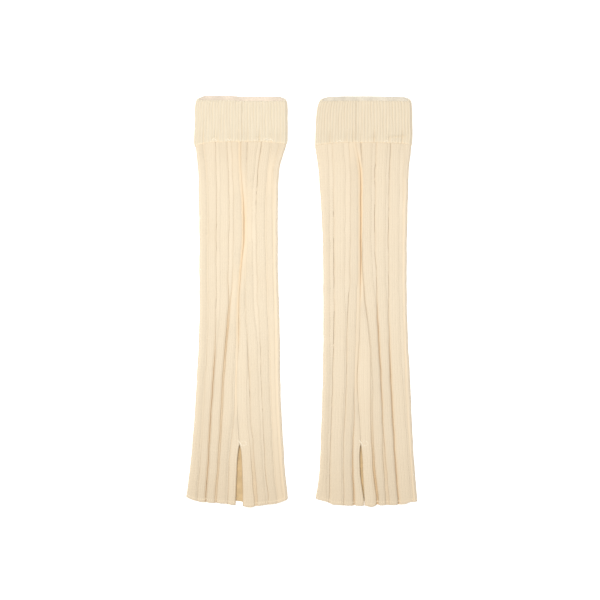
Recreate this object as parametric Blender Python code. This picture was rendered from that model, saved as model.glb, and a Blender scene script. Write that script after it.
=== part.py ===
"""A pair of rib-knitted leg warmers laid flat side by side, cuffs towards +Y, resting on z = 0.

Each leg warmer is a wide-rib leg with a doubled cuff of fine rib. Leg and cuff are walls bent into a flattened tube,
whose two side edges meet at one seam on the upper face. The last stretch of the seam is open and is the hem slit.
Sizes are in millimetres, measured from each leg warmer's own centre line and up from its lowest hem point.
"""
from collections import namedtuple
import math

import bmesh
import bpy
import numpy as np

MM = 0.001
LENGTH = 450.0
JOIN = 402.0
SEAM_GAP = 0.3
SLIT_TOP = 70.5

# Layers of a flattened tube: the wall that rests on the ground, the hollow, the upper wall under its ribs, the height
# of a rib, and the thickness of the wall where it folds at the side.
Layers = namedtuple("Layers", "back hollow front rib side")
LEG_LAYERS = Layers(back=2.4, hollow=0.4, front=1.5, rib=2.2, side=2.5)
CUFF_LAYERS = Layers(back=3.9, hollow=0.4, front=3.7, rib=0.8, side=3.9)

# A rib narrower than this sinks between its furrows.
FULL_RIB = 6.5
# Shape across one rib: the place between its two furrows, and the share of the rib's height there.
RIB_CREST = ((0.18, 0.82), (0.5, 1.0), (0.82, 0.82))
# Shape of the outermost rib, from its furrow to the side fold.
EDGE_CREST = ((0.3, 0.88), (0.75, 1.0))
# Angles round a side fold, from the upper face down to the underside.
FOLD_ANGLES = (58.0, 22.0, -18.0, -55.0)
BACK_COLUMNS = (0.08, 0.18, 0.33, 0.5, 0.67, 0.82, 0.92)
# Height of the cloth's two side edges at the seam, as a share of a rib.
SEAM_EDGE = 0.3
# As shares of a rib: the floor of a full furrow, how far a shallow one is filled in, and how far its gentler side is.
FURROW_FLOOR = 0.12
SHALLOW_FLOOR = 0.6
GENTLE_SIDE = 0.2

# Heights at which the leg's lines were measured, from just under the cuff down to the hem.
STATIONS = (396, 375, 336, 292, 260, 227, 183, 139, 95, 70, 40, 10)
# One furrow between two ribs: its middle at each station, its width in the upper and the lower half, which side of it
# is deeper (-1 left, 1 right), and its depth as a share of a rib.
Furrow = namedtuple("Furrow", "across upper lower lean depth")
Leg = namedtuple("Leg", "centre left right seam slit furrows_left furrows_right hem join")
Cuff = namedtuple("Cuff", "heights left right seam ribs_left ribs_right rim")

LEFT_LEG = Leg(
    centre=-70.7,
    left=(-45.5, -43.2, -42.1, -41.2, -41.5, -41.1, -42.0, -44.4, -47.0, -49.1, -52.0, -56.2),
    right=(53.5, 47.1, 44.7, 44.5, 44.6, 45.7, 46.8, 47.2, 48.9, 50.5, 52.4, 55.6),
    seam=(5.3, 4.4, 6.7, 7.0, 5.3, 1.7, 1.8, -0.4, 0.8, 2.4, 2.4, 2.3),
    slit=(0, 0, 0, 0, 0, 0, 0, 0, 0, 8.2, 8.2, 8.2),
    furrows_left=(
        Furrow((2.4, 1.8, 4.6, 4.9, 3.0, -0.4, -1.0, -2.8, -4.8, -7.9, -10.0, -10.9),
               1.2, 3.0, 1, 1.0),
        Furrow((-8.4, -7.3, -6.2, -6.5, -7.6, -8.6, -12.5, -16.0, -18.0, -19.3, -21.2, -23.7),
               5.0, 2.4, 0, 1.0),
        Furrow((-21.7, -21.0, -20.4, -21.0, -20.8, -20.8, -23.4, -26.1, -29.2, -30.5, -32.1, -34.4),
               4.0, 2.0, -1, 1.0),
        Furrow((-36.8, -34.3, -32.5, -32.5, -32.7, -32.2, -33.6, -36.3, -38.7, -39.8, -41.8, -44.5),
               1.8, 1.8, 1, 0.7),
    ),
    furrows_right=(
        Furrow((11.3, 9.7, 8.6, 8.9, 7.9, 8.5, 11.2, 11.9, 12.8, 15.7, 18.2, 20.8),
               1.2, 3.4, 1, 0.9),
        Furrow((24.5, 21.7, 19.0, 19.0, 19.7, 20.3, 23.7, 25.1, 27.1, 28.3, 30.0, 33.2),
               4.6, 3.2, 1, 0.9),
        Furrow((37.1, 34.3, 31.4, 31.4, 32.4, 33.2, 35.1, 36.0, 37.9, 39.1, 40.9, 44.2),
               1.8, 1.8, 0, 0.7),
        Furrow((46.6, 40.4, 39.0, 39.5, 40.4, 41.2, 42.0, 43.1, 45.0, 46.6, 48.6, 51.6),
               1.6, 1.6, 0, 0.6),
    ),
    hem=((-56, 11.2), (-49, 8.3), (-41, 6.2), (-31, 5.4), (-13, 4.2), (-2, 2.4), (8, 1.1), (14, 0.0), (21, 1.3),
         (30, 2.8), (43, 4.2), (51, 6.8), (56, 8.8)),
    join=((-48, 395.3), (-41, 397.8), (-34, 399.7), (-23, 400.9), (-7, 401.6), (6, 402.0), (21, 402.2), (28, 402.0),
          (37, 401.2), (45, 400.2), (55, 398.8)),
)
RIGHT_LEG = Leg(
    centre=70.7,
    left=(-55.9, -52.9, -49.8, -47.6, -47.1, -47.0, -47.0, -47.6, -49.0, -49.9, -51.1, -55.3),
    right=(49.5, 47.1, 45.6, 44.5, 44.3, 44.4, 45.7, 48.1, 50.0, 51.2, 53.2, 55.9),
    seam=(-11.2, -7.8, -6.4, -6.4, -6.5, -7.1, -7.4, -9.5, -6.6, -6.0, -5.2, -2.3),
    slit=(0, 0, 0, 0, 0, 0, 0, 0, 0, 6.0, 5.7, 0.6),
    furrows_left=(
        Furrow((-13.6, -10.2, -8.4, -8.4, -8.9, -9.9, -11.5, -12.3, -13.2, -15.0, -15.3, -13.4),
               1.2, 2.4, 1, 1.0),
        Furrow((-21.9, -20.2, -20.0, -20.2, -20.6, -21.2, -21.9, -22.5, -24.4, -25.6, -25.8, -25.2),
               6.0, 2.2, 1, 0.8),
        Furrow((-39.8, -38.6, -38.0, -37.6, -37.5, -37.5, -37.8, -38.5, -40.3, -41.2, -41.9, -42.5),
               5.0, 3.2, 1, 0.9),
    ),
    furrows_right=(
        Furrow((-5.8, -5.4, -4.6, -4.4, -3.8, -0.9, 4.2, 6.1, 6.2, 6.8, 9.0, 13.1),
               1.2, 2.2, 0, 1.0),
        Furrow((10.6, 8.4, 7.9, 7.5, 9.0, 11.2, 13.7, 16.0, 17.9, 19.7, 22.1, 25.4),
               4.2, 2.0, 1, 1.0),
        Furrow((26.8, 24.3, 23.2, 22.4, 22.9, 23.3, 24.4, 26.3, 28.7, 30.1, 32.2, 35.5),
               3.8, 2.0, 1, 1.0),
        Furrow((39.6, 38.5, 38.3, 37.8, 37.7, 38.3, 39.8, 41.5, 44.2, 46.0, 48.0, 50.4),
               4.4, 2.6, 1, 0.7),
    ),
    hem=((-55, 9.2), (-47, 7.2), (-42, 5.6), (-37, 3.2), (-22, 2.2), (0, 1.8), (6, 0.5), (12, 2.4), (33, 2.8),
         (44, 4.0), (48, 6.0), (56, 6.4)),
    join=((-56, 396.8), (-48, 398.6), (-39, 400.0), (-23, 401.2), (-12, 401.9), (10, 402.4), (19, 402.2), (28, 401.4),
          (37, 399.8), (50, 396.5)),
)
# Between these heights a furrow goes from its lower width to its upper one.
WIDTH_BLEND = (170.0, 250.0)
LEG_ROWS = (0, 1.2, 9, 24, 40, 54, 64, 69, 72, 84, 96, 118, 139, 161, 183, 205, 227, 244, 260, 292, 336, 375,
            392, JOIN)
HEM_BLEND = 45.0
JOIN_BLEND = 27.0
# In its middle the hem of the underside is this much shorter than the upper face's, and equal at the side folds.
BACK_HEM_RISE = 4.8

LEFT_CUFF = Cuff(
    heights=(450.0, 448.5, 446.0, 441.0, 426.0, 408.0, 400.0, 394.0),
    left=(-40.5, -43.2, -44.8, -46.2, -46.4, -47.2, -47.6, -46.8),
    right=(51.6, 53.2, 54.4, 55.2, 55.6, 55.6, 55.2, 53.9),
    seam=(5.5, 5.5, 5.5, 5.5, 5.5, 5.6, 5.3, 5.3),
    ribs_left=15,
    ribs_right=14,
    rim=((-45, 450.0), (-8, 450.0), (3, 449.2), (55, 449.2)),
)
RIGHT_CUFF = Cuff(
    heights=(450.0, 448.5, 446.0, 441.0, 434.0, 426.0, 408.0, 394.0),
    left=(-46.6, -48.9, -51.0, -53.3, -54.5, -55.2, -56.1, -56.3),
    right=(46.4, 47.9, 49.1, 50.1, 50.4, 50.6, 50.9, 50.0),
    seam=(-11.2, -11.2, -11.1, -11.1, -11.1, -11.0, -11.2, -11.2),
    ribs_left=13,
    ribs_right=17,
    rim=((-50, 449.0), (-25, 449.7), (30, 449.7), (50, 449.2)),
)
CUFF_ROWS = (JOIN, 403.4, 414, 427, 439, 447.2, 449.2, LENGTH)
RIM_BLEND = 22.0
# The upper face's rim lies this much below the underside's, so that the far rim shows behind it.
FRONT_RIM_DROP = 4.0
# How far each face of the wall closes in on the other along its hem, its joined edges and its rounded rim.
EDGE_PINCH = {"hem": 0.16, "join": 0.1, "rim_shoulder": 0.12, "rim": 0.34}

# A point of a cross-section; under runs from 0 on the upper face to 1 on the underside.
Point = namedtuple("Point", "x z under")


def smooth_value(heights, values, height):
    """Value at one height of a table whose rows run downwards, on a smooth curve through the rows."""
    h = np.asarray(heights, float)[::-1]
    v = np.asarray(values, float)[::-1]
    height = min(max(height, h[0]), h[-1])
    slopes = np.gradient(v, h)
    i = min(int(np.searchsorted(h, height, side="right")) - 1, len(h) - 2)
    span = h[i + 1] - h[i]
    t = (height - h[i]) / span
    start = v[i] * (1 + 2 * t) * (1 - t) ** 2 + v[i + 1] * t * t * (3 - 2 * t)
    return start + span * t * (1 - t) * (slopes[i] * (1 - t) - slopes[i + 1] * t)


def along(points, x):
    """Height of an edge that runs across the cloth, at one x."""
    return float(np.interp(x, [p[0] for p in points], [p[1] for p in points]))


def ramp(value, start, end):
    """Soft step from 0 at start to 1 at end."""
    t = min(max((value - start) / (end - start), 0.0), 1.0)
    return t * t * (3 - 2 * t)


def leg_upper_face(leg, furrows, side, height):
    """Columns of one half of the leg's upper face, from the seam to its last furrow: x, rise, whether an anchor.

    side is -1 for the half left of the seam and 1 for the half right of it.
    """
    opening = smooth_value(STATIONS, leg.slit, height) * math.sqrt(max(0.0, 1 - (height / SLIT_TOP) ** 2))
    gap = max(SEAM_GAP, opening)
    start = smooth_value(STATIONS, leg.seam, height) + side * gap / 2
    columns = [(start, SEAM_EDGE, True)]
    for furrow in furrows:
        middle = smooth_value(STATIONS, furrow.across, height)
        width = furrow.lower + (furrow.upper - furrow.lower) * ramp(height, *WIDTH_BLEND)
        near = middle - side * width / 2
        far = middle + side * width / 2
        low = FURROW_FLOOR + (1 - furrow.depth) * SHALLOW_FLOOR
        columns += rib_columns(start, near)
        lean = furrow.lean * side
        columns.append((middle - side * width / 4, low + GENTLE_SIDE * max(lean, 0), True))
        columns.append((middle + side * width / 4, low + GENTLE_SIDE * max(-lean, 0), False))
        start = far
    return columns, start


def rib_columns(start, end):
    """Columns across one rib between two furrows."""
    width = abs(end - start)
    height = min(1.0, width / FULL_RIB)
    return [(start + (end - start) * place, max(share * height, SEAM_EDGE), False) for place, share in RIB_CREST]


def edge_columns(start, fold_start):
    """Columns of the outermost rib, from its furrow to where the side fold starts."""
    last = len(EDGE_CREST) - 1
    return [(start + (fold_start - start) * place, share, i == last) for i, (place, share) in enumerate(EDGE_CREST)]


def cuff_upper_face(seam, fold_start, ribs, side):
    """Columns of one half of the cuff's upper face: fine ribs of equal width between the seam and the side fold."""
    start = seam + side * SEAM_GAP / 2
    columns = [(start, 0.0, True)]
    for i in range(1, 2 * ribs + 1):
        share = i / (2 * ribs)
        columns.append((start + (fold_start - start) * share, float(i % 2), i % 8 == 0 or i == 2 * ribs))
    return columns


def ring(halves, edges, layers, pinch):
    """One cross-section of a flattened tube, from the seam round the left side, the underside and the right side.

    Returns the outer points, the inner points, and for each inner point the outer point that it faces.
    """
    hollow_top = layers.back + layers.hollow
    base = hollow_top + layers.front
    radius = (base + layers.rib) / 2
    outer, inner, anchors = [], [], []

    def upper(columns, corner):
        """Outer and inner points of one half of the upper face."""
        points = []
        for x, rise, anchored in columns:
            thickness = layers.front + layers.rib * rise
            points.append((Point(x, base + layers.rib * rise - pinch * thickness, 0.0), anchored))
        inside = [Point(x, hollow_top + pinch * layers.front, 0.0) for x, _, anchored in columns if anchored]
        inside[-1] = Point(corner, inside[-1].z, 0.1)
        return points, inside

    def fold(edge, side):
        """Outer points round one side fold, down to the underside."""
        centre = edge - side * radius
        reach = radius - pinch * layers.side
        points = []
        for angle in FOLD_ANGLES:
            a = math.radians(angle)
            under = 0.5 - 0.5 * math.sin(a)
            points.append(Point(centre + side * reach * math.cos(a), radius + reach * math.sin(a), under))
        points.append(Point(centre, pinch * layers.back, 1.0))
        return points

    corners = [edge - side * (layers.side - pinch * layers.side) for edge, side in zip(edges, (-1, 1))]
    back_inside = layers.back - pinch * layers.back
    sides = [upper(columns, corner) for columns, corner in zip(halves, corners)]
    for point, anchored in sides[0][0]:
        if anchored:
            anchors.append(len(outer))
        outer.append(point)
    inner += sides[0][1]
    outer += fold(edges[0], -1)
    anchors.append(len(outer) - 1)
    inner.append(Point(corners[0], back_inside, 0.9))
    for share in BACK_COLUMNS:
        x = edges[0] + radius + (edges[1] - edges[0] - 2 * radius) * share
        anchors.append(len(outer))
        outer.append(Point(x, pinch * layers.back, 1.0))
        inner.append(Point(x, back_inside, 1.0))
    right_fold = fold(edges[1], 1)[::-1]
    anchors.append(len(outer))
    inner.append(Point(corners[1], back_inside, 0.9))
    outer += right_fold
    for point, anchored in sides[1][0][::-1]:
        if anchored:
            anchors.append(len(outer))
        outer.append(point)
    inner += sides[1][1][::-1]
    return outer, inner, anchors


def leg_ring(leg, height, pinch):
    """Cross-section of the leg at one height."""
    edges = [smooth_value(STATIONS, values, height) for values in (leg.left, leg.right)]
    radius = (sum(LEG_LAYERS) - LEG_LAYERS.side) / 2
    halves = []
    for edge, furrows, side in ((edges[0], leg.furrows_left, -1), (edges[1], leg.furrows_right, 1)):
        columns, start = leg_upper_face(leg, furrows, side, height)
        halves.append(columns + edge_columns(start, edge - side * radius))
    return ring(halves, edges, LEG_LAYERS, pinch)


def cuff_ring(cuff, height, pinch):
    """Cross-section of the cuff at one height."""
    edges = [smooth_value(cuff.heights, values, height) for values in (cuff.left, cuff.right)]
    seam = smooth_value(cuff.heights, cuff.seam, height)
    radius = (sum(CUFF_LAYERS) - CUFF_LAYERS.side) / 2
    halves = [
        cuff_upper_face(seam, edge - side * radius, ribs, side)
        for edge, ribs, side in ((edges[0], cuff.ribs_left, -1), (edges[1], cuff.ribs_right, 1))
    ]
    return ring(halves, edges, CUFF_LAYERS, pinch)


def leg_height(leg, nominal, point):
    """Real height of a point of the leg: rows bend with the hem at the bottom and with the cuff's edge at the top."""
    edge = leg.left[-1] if point.x < 0 else leg.right[-1]
    middle = 1 - (point.x / edge) ** 4
    hem = along(leg.hem, point.x) + BACK_HEM_RISE * point.under * max(middle, 0.0)
    top = along(leg.join, point.x) - SEAM_GAP - JOIN
    return nominal + hem * (1 - ramp(nominal, 0, HEM_BLEND)) + top * ramp(nominal, JOIN - JOIN_BLEND, JOIN)


def cuff_height(leg, cuff, nominal, point):
    """Real height of a point of the cuff: rows bend with its joined edge at the bottom and its rim at the top."""
    bottom = along(leg.join, point.x) - JOIN
    rim = along(cuff.rim, point.x) - FRONT_RIM_DROP * (1 - point.under) - LENGTH
    bottom *= 1 - ramp(nominal, JOIN, JOIN + JOIN_BLEND)
    rim *= ramp(nominal, LENGTH - RIM_BLEND, LENGTH)
    return nominal + bottom + rim


def lay_out(rows, pinches, make_ring, make_height):
    """Rings of a piece as lists of corners in millimetres, each point taken at its real height."""
    rings = []
    for nominal, pinch in zip(rows, pinches):
        first_outer, first_inner, anchors = make_ring(nominal, pinch)
        layers = []
        for kind, points in enumerate((first_outer, first_inner)):
            placed = []
            for index, point in enumerate(points):
                height = make_height(nominal, point)
                real = make_ring(height, pinch)[kind][index]
                placed.append((real.x, height, real.z))
            layers.append(placed)
        rings.append(layers)
    return rings, anchors


def tube_object(name, centre, rings, anchors, material):
    """Closed wall through the rings: outer skin, inner skin, two side edges at the seam and two end edges."""
    bm = bmesh.new()
    verts = []
    for layers in rings:
        verts.append([[bm.verts.new((x * MM, (y - LENGTH / 2) * MM, z * MM)) for x, y, z in layer] for layer in layers])
    for low, high in zip(verts, verts[1:]):
        for skin in (0, 1):
            for i in range(len(low[skin]) - 1):
                bm.faces.new((low[skin][i], low[skin][i + 1], high[skin][i + 1], high[skin][i]))
        for end in (0, -1):
            bm.faces.new((low[0][end], high[0][end], high[1][end], low[1][end]))
    for outer, inner in (verts[0], verts[-1]):
        for i in range(len(inner) - 1):
            bm.faces.new((inner[i + 1], inner[i]) + tuple(outer[anchors[i]: anchors[i + 1] + 1]))
    bmesh.ops.recalc_face_normals(bm, faces=bm.faces)
    bmesh.ops.triangulate(bm, faces=bm.faces)
    mesh = bpy.data.meshes.new(name)
    bm.to_mesh(mesh)
    bm.free()
    mesh.materials.append(material)
    mesh.shade_smooth()
    mesh.set_sharp_from_angle(angle=math.radians(50))
    obj = bpy.data.objects.new(name, mesh)
    obj.location = (centre * MM, 0, 0)
    bpy.context.scene.collection.objects.link(obj)
    return obj


def yarn(name, colour):
    """Matt knitted yarn of one colour."""
    material = bpy.data.materials.new(name)
    material.use_nodes = True
    shader = material.node_tree.nodes["Principled BSDF"]
    shader.inputs["Base Color"].default_value = (*colour, 1.0)
    shader.inputs["Roughness"].default_value = 0.92
    shader.inputs["Metallic"].default_value = 0.0
    return material


def make_leg(name, leg):
    """The wide-rib leg of one leg warmer."""
    pinches = [EDGE_PINCH["hem"]] + [0.0] * (len(LEG_ROWS) - 2) + [EDGE_PINCH["join"]]
    rings, anchors = lay_out(
        LEG_ROWS, pinches, lambda h, p: leg_ring(leg, h, p), lambda nominal, point: leg_height(leg, nominal, point)
    )
    return tube_object(name, leg.centre, rings, anchors, yarn(name, (0.87, 0.74, 0.55)))


def make_cuff(name, leg, cuff):
    """The doubled fine-rib cuff of one leg warmer."""
    pinches = [EDGE_PINCH["join"]] + [0.0] * (len(CUFF_ROWS) - 3) + [EDGE_PINCH["rim_shoulder"], EDGE_PINCH["rim"]]
    rings, anchors = lay_out(
        CUFF_ROWS,
        pinches,
        lambda h, p: cuff_ring(cuff, h, p),
        lambda nominal, point: cuff_height(leg, cuff, nominal, point),
    )
    return tube_object(name, leg.centre, rings, anchors, yarn(name, (0.89, 0.77, 0.58)))


def main():
    """Clears the scene and builds the pair."""
    for obj in list(bpy.data.objects):
        bpy.data.objects.remove(obj)
    for side, leg, cuff in (("left", LEFT_LEG, LEFT_CUFF), ("right", RIGHT_LEG, RIGHT_CUFF)):
        make_leg(f"{side}_leg", leg)
        make_cuff(f"{side}_cuff", leg, cuff)


main()
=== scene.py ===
"""Looks of a pair of rib-knitted leg warmers that lie flat side by side on z = 0, cuffs towards +Y.

Each leg warmer is a wide-rib leg joined to a doubled fine-rib cuff. The cloth is a wall bent into a flattened
tube, whose two side edges meet at one seam on the upper face; the last stretch of the seam is open and is the
slit at the hem. Sizes in the tables are millimetres, across from each leg warmer's own centre line and up
from its lowest hem point.
"""

import logging
import math
from dataclasses import dataclass
from enum import Enum
from typing import Any, Callable

import bpy
import numpy as np
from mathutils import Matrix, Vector


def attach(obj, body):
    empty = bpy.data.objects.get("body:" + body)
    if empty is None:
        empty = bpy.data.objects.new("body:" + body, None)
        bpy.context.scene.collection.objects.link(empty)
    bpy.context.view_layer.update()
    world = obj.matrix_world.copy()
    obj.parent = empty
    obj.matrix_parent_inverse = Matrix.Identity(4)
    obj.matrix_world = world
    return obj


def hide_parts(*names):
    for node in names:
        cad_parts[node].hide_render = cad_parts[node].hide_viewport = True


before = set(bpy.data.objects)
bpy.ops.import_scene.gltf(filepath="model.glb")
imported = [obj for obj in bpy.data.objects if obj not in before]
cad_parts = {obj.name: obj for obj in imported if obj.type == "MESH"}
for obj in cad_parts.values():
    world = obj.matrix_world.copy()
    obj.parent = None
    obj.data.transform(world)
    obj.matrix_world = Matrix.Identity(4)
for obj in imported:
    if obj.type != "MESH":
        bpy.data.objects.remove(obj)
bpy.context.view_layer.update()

LOG = logging.getLogger("leg_warmers")
Array = np.ndarray
Colour = tuple[float, float, float]
LineAt = Callable[[Array], Array]

MM = 0.001
LENGTH = 450.0
# Height at which the leg ends and the cuff starts.
JOIN = 402.0
# Gaps between the two edges of a seam, and between leg and cuff.
SEAM_GAP = 0.04
CUFF_SEAM_GAP = 0.12
JOIN_GAP = 0.08
SLIT_TOP = 68.5
# How far the cloth beside the seam slopes down to it, and by what share of the seam's depth.
SEAM_REACH = 1.5
SEAM_SLOPE = 0.5
# Height of the seam's edges where it is not sunk, and how far they fall where it is deepest.
SEAM_TOP = 6.44
SEAM_FALL = 3.14
# A rib narrower than this sinks where a furrow or the seam beside it is deep.
FULL_RIB = 3.4
# A wale narrower than this stands up less.
FULL_WALE = 1.5
# Half the width of a usual rib, and how many fine points half of its section is measured with.
HALF_RIB = 4.2
HALF_ARC = 200
# How far a rib hangs over a furrow: at most this share of its width, and on its deeper and other side.
TUCK_SHARE = 0.3
TUCKS = (0.75, 0.25)
# How soon the painted shade deepens towards the floor of a furrow.
SHADE_CURVE = 1.3
# How far above and below its own height a furrow goes from its upper width to its lower one.
WIDTH_BLEND = 18.0
# How far up or down the bends of hem, join and rim fade out.
HEM_BLEND = 45.0
JOIN_BLEND = 27.0
RIM_BLEND = 22.0
# How much higher the resting side ends than the upper one at the hem, and the upper one lower at the rim.
BACK_HEM_RISE = 4.8
FRONT_RIM_DROP = 5.2
# How far up a tube's thinner lower end reaches.
THIN_BLEND = 13.0
# How far from a tube's lower and from its upper edge the relief of its wales starts and is full.
LOWER_FADE = (0.2, 2.5)
UPPER_FADE = (0.05, 0.9)
# How far ribs stand up inside the far rim, and the heights between which they start.
RIM_RIBS = 0.55
RIM_RIBS_START = (446.3, 447.6)
# How deep the leg's furrows pull the cuff in above the join.
GATHER = 0.95
# How much higher a deep furrow ends at the hem than the ribs beside it.
HEM_NOTCH = 1.1
# Painted shade on a leg at some heights: most towards the hem, as light falls off, and some in the cuff's
# shadow.
LEG_PAINTED_SHADE = ((5, 1.0), (19, 0.95), (35, 0.8), (57, 0.64), (79, 0.5), (101, 0.42), (128, 0.33), (178, 0.18),
            (222, 0.06), (320, 0.03), (350, 0.1), (375, 0.22), (396, 0.42))
# Heights at which the leg's lines were measured, from just under the cuff down to the hem.
STATIONS = (396, 375, 336, 292, 260, 227, 183, 139, 95, 70, 40, 10)
# Heights at which the depth of each furrow was judged.
DEPTH_HEIGHTS = (390, 355, 310, 270, 235, 200, 150, 90, 30)


class Side(Enum):
    """The two leg warmers, by where each one lies."""

    LEFT = "left"
    RIGHT = "right"


class Slot(Enum):
    """The record's material slots."""

    WIDE_RIB = "wide_rib_knit"
    FINE_RIB = "fine_rib_knit"


class RibShape(Enum):
    """Which part of a rib's section a strip shows."""

    WHOLE = "whole"
    LEFT_EDGE = "left_edge"
    RIGHT_EDGE = "right_edge"


class StitchKind(Enum):
    """How the yarn of a sewn or cast-off row lies along its path."""

    CHAIN = "chain"
    LOOP = "loop"
    BAR = "bar"


@dataclass(frozen=True)
class StitchSize:
    """Sizes of a row of stitches: step, half a stitch's length, half the yarn's width, lean, stray turn."""

    spacing: float
    reach: float
    yarn: float
    lean: float
    wander: float


CAST_OFF = StitchSize(2.3, 1.1, 0.34, 0.32, 0.12)
LINKING = StitchSize(4.4, 1.1, 0.42, 0.85, 0.6)
BUNCHES = StitchSize(1.6, 1.0, 0.6, 1.1, 0.7)
SEAM_SEWING = StitchSize(2.4, 0.7, 0.24, 0.2, 0.16)
CUFF_SEWING = StitchSize(2.1, 0.8, 0.28, 0.25, 0.3)
SLIT_EDGE = StitchSize(2.0, 1.0, 0.3, 0.3, 0.16)
TACK = StitchSize(1.1, 1.15, 0.45, 0.0, 0.25)
TACK_ENDS = StitchSize(1.9, 0.8, 0.4, 0.9, 0.7)
# Height of the cast-off row, and how far up and into the cloth the linking loops lie and how they waver.
CAST_OFF_HEIGHT = 2.4
LINK_RISE = 0.8
LINK_SUNK = 0.15
LINK_WAVER = (0.7, 17.0)
# How deep the leg's seam is sewn, and how the cuff's sewing wavers.
SEWING_SUNK = 0.28
CUFF_SEWING_WAVER = (0.3, 9.0)
# Heights between which the leg's seam, the cuff's seam and the edges of the slit have their stitches.
LEG_SEWN = (SLIT_TOP + 1, JOIN - 2)
CUFF_SEWN = (JOIN + 2, LENGTH - 2.5)
SLIT_SEWN = (4.0, SLIT_TOP - 1)
# How many columns beside the slit have no cast-off chain, and the columns of the loops on its two edges.
SLIT_FREE = 4
SLIT_COLUMNS = {"left": 3, "right": -4}
# Places of the tack's yarn and of its ends, across and up from the top of the slit.
TACK_SPOTS = ((-0.9, 3.6), (-0.1, 2.6), (0.7, 1.5), (1.7, 0.3), (2.1, -0.8))
TACK_END_SPOTS = ((2.8, 3.4), (4.4, 4.0), (6.0, 3.2), (7.6, 1.8), (8.0, 0.2), (6.2, -1.0), (4.2, -1.4))
# How far above the cloth a placed stitch lies.
STITCH_RISE = 0.1


@dataclass(frozen=True)
class Layers:
    """Heights in a flattened tube: resting wall, hollow, upper wall under its ribs, rib, wall at a fold."""

    back: float
    hollow: float
    front: float
    rib: float
    side: float

    @property
    def base(self) -> float:
        """Height of the upper wall's furrows."""
        return self.back + self.hollow + self.front

    @property
    def top(self) -> float:
        """Height of the ribs' crests."""
        return self.base + self.rib


@dataclass(frozen=True)
class Line:
    """A value measured at falling heights, read on a smooth curve, with a slight waver of its own."""

    heights: tuple[float, ...]
    values: tuple[float, ...]
    waver: float = 0.0
    seed: int = 0

    def at(self, height: Array) -> Array:
        """Value at each height.

        Args:
            height: Heights in millimetres, in an array of any shape.

        Returns:
            The values, in the same shape.
        """
        h = np.asarray(self.heights, float)[::-1]
        v = np.asarray(self.values, float)[::-1]
        inside = np.clip(height, h[0], h[-1])
        slopes = np.gradient(v, h)
        i = np.clip(np.searchsorted(h, inside, side="right") - 1, 0, len(h) - 2)
        span = h[i + 1] - h[i]
        t = (inside - h[i]) / span
        value = v[i] * (1 + 2 * t) * (1 - t) ** 2 + v[i + 1] * t * t * (3 - 2 * t)
        value = value + span * t * (1 - t) * (slopes[i] * (1 - t) - slopes[i + 1] * t)
        return value + waver(height, self.seed, self.waver, 38.0)


@dataclass(frozen=True)
class Furrow:
    """One furrow between two ribs.

    Its middle at each station, its width above and below the height at which it narrows, which side is deeper
    (-1 left, 1 right, 0 both), how deep it is at each of the depth heights, from 0 to 1, and how much wider
    it opens at the hem, where its floor is then level.
    """

    across: tuple[float, ...]
    upper: float
    lower: float
    narrows: float
    lean: int
    depths: tuple[float, ...]
    opens: float = 0.0

    DEEP_TOP = 6.35
    DEEP_FALL = 3.05
    SHALLOW_TOP = 6.42
    SHALLOW_FALL = 0.6
    LEVEL_FALL = 2.3
    OPENS_BELOW = (35.0, 95.0)

    def level(self, height: Array) -> Array:
        """How level and open its floor is at each height, from 0 to 1."""
        return 1 - ramp(height, *self.OPENS_BELOW) if self.opens else np.zeros_like(height)

    def floor(self, side: int) -> LineAt:
        """Height of the floor at one of its feet, which is lower on the deeper side.

        Args:
            side: -1 for its left foot, 1 for its right one.

        Returns:
            The floor there, by height.
        """
        deep = self.lean in (0, side)
        strength = Line(DEPTH_HEIGHTS, self.depths)

        def foot(height: Array) -> Array:
            """The floor's height at that foot.

            Args:
                height: Heights along the leg.

            Returns:
                The floor's height at each.
            """
            high, fall = self.SHALLOW_TOP, self.SHALLOW_FALL + self.LEVEL_FALL * self.level(height)
            if deep:
                high, fall = self.DEEP_TOP, self.DEEP_FALL
            return high - fall * np.clip(strength.at(height), 0.0, 1.0)

        return foot


@dataclass(frozen=True)
class Leg:
    """Measured lines of one leg."""

    centre: float
    left: tuple[float, ...]
    right: tuple[float, ...]
    seam: tuple[float, ...]
    seam_depths: tuple[float, ...]
    slit: tuple[float, ...]
    furrows_left: tuple[Furrow, ...]
    furrows_right: tuple[Furrow, ...]
    hem: tuple[tuple[float, float], ...]
    join: tuple[tuple[float, float], ...]
    seed: int


@dataclass(frozen=True)
class Crease:
    """A soft trough across the cuff's lower edge, its ends, depth and half width."""

    start: tuple[float, float]
    end: tuple[float, float]
    depth: float
    reach: float

    def at(self, x: Array, height: Array) -> Array:
        """How far it lowers the cloth.

        Args:
            x: Places across.
            height: Their heights.

        Returns:
            How far the cloth sinks at each place.
        """
        share = (x - self.start[0]) / (self.end[0] - self.start[0])
        middle = self.start[1] + (self.end[1] - self.start[1]) * share
        ends = np.clip(4 * share, 0, 1) * np.clip(4 * (1 - share), 0, 1)
        return self.depth * ends * np.exp(-(((height - middle) / self.reach) ** 2))


@dataclass(frozen=True)
class Cuff:
    """Measured lines of one cuff."""

    heights: tuple[float, ...]
    left: tuple[float, ...]
    right: tuple[float, ...]
    seam: tuple[float, ...]
    ribs_left: int
    ribs_right: int
    rim: tuple[tuple[float, float], ...]
    creases: tuple[Crease, ...]


LEG_LAYERS = Layers(back=2.4, hollow=0.4, front=1.5, rib=2.2, side=2.5)
CUFF_LAYERS = Layers(back=3.9, hollow=0.4, front=3.7, rib=0.8, side=3.9)

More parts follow.
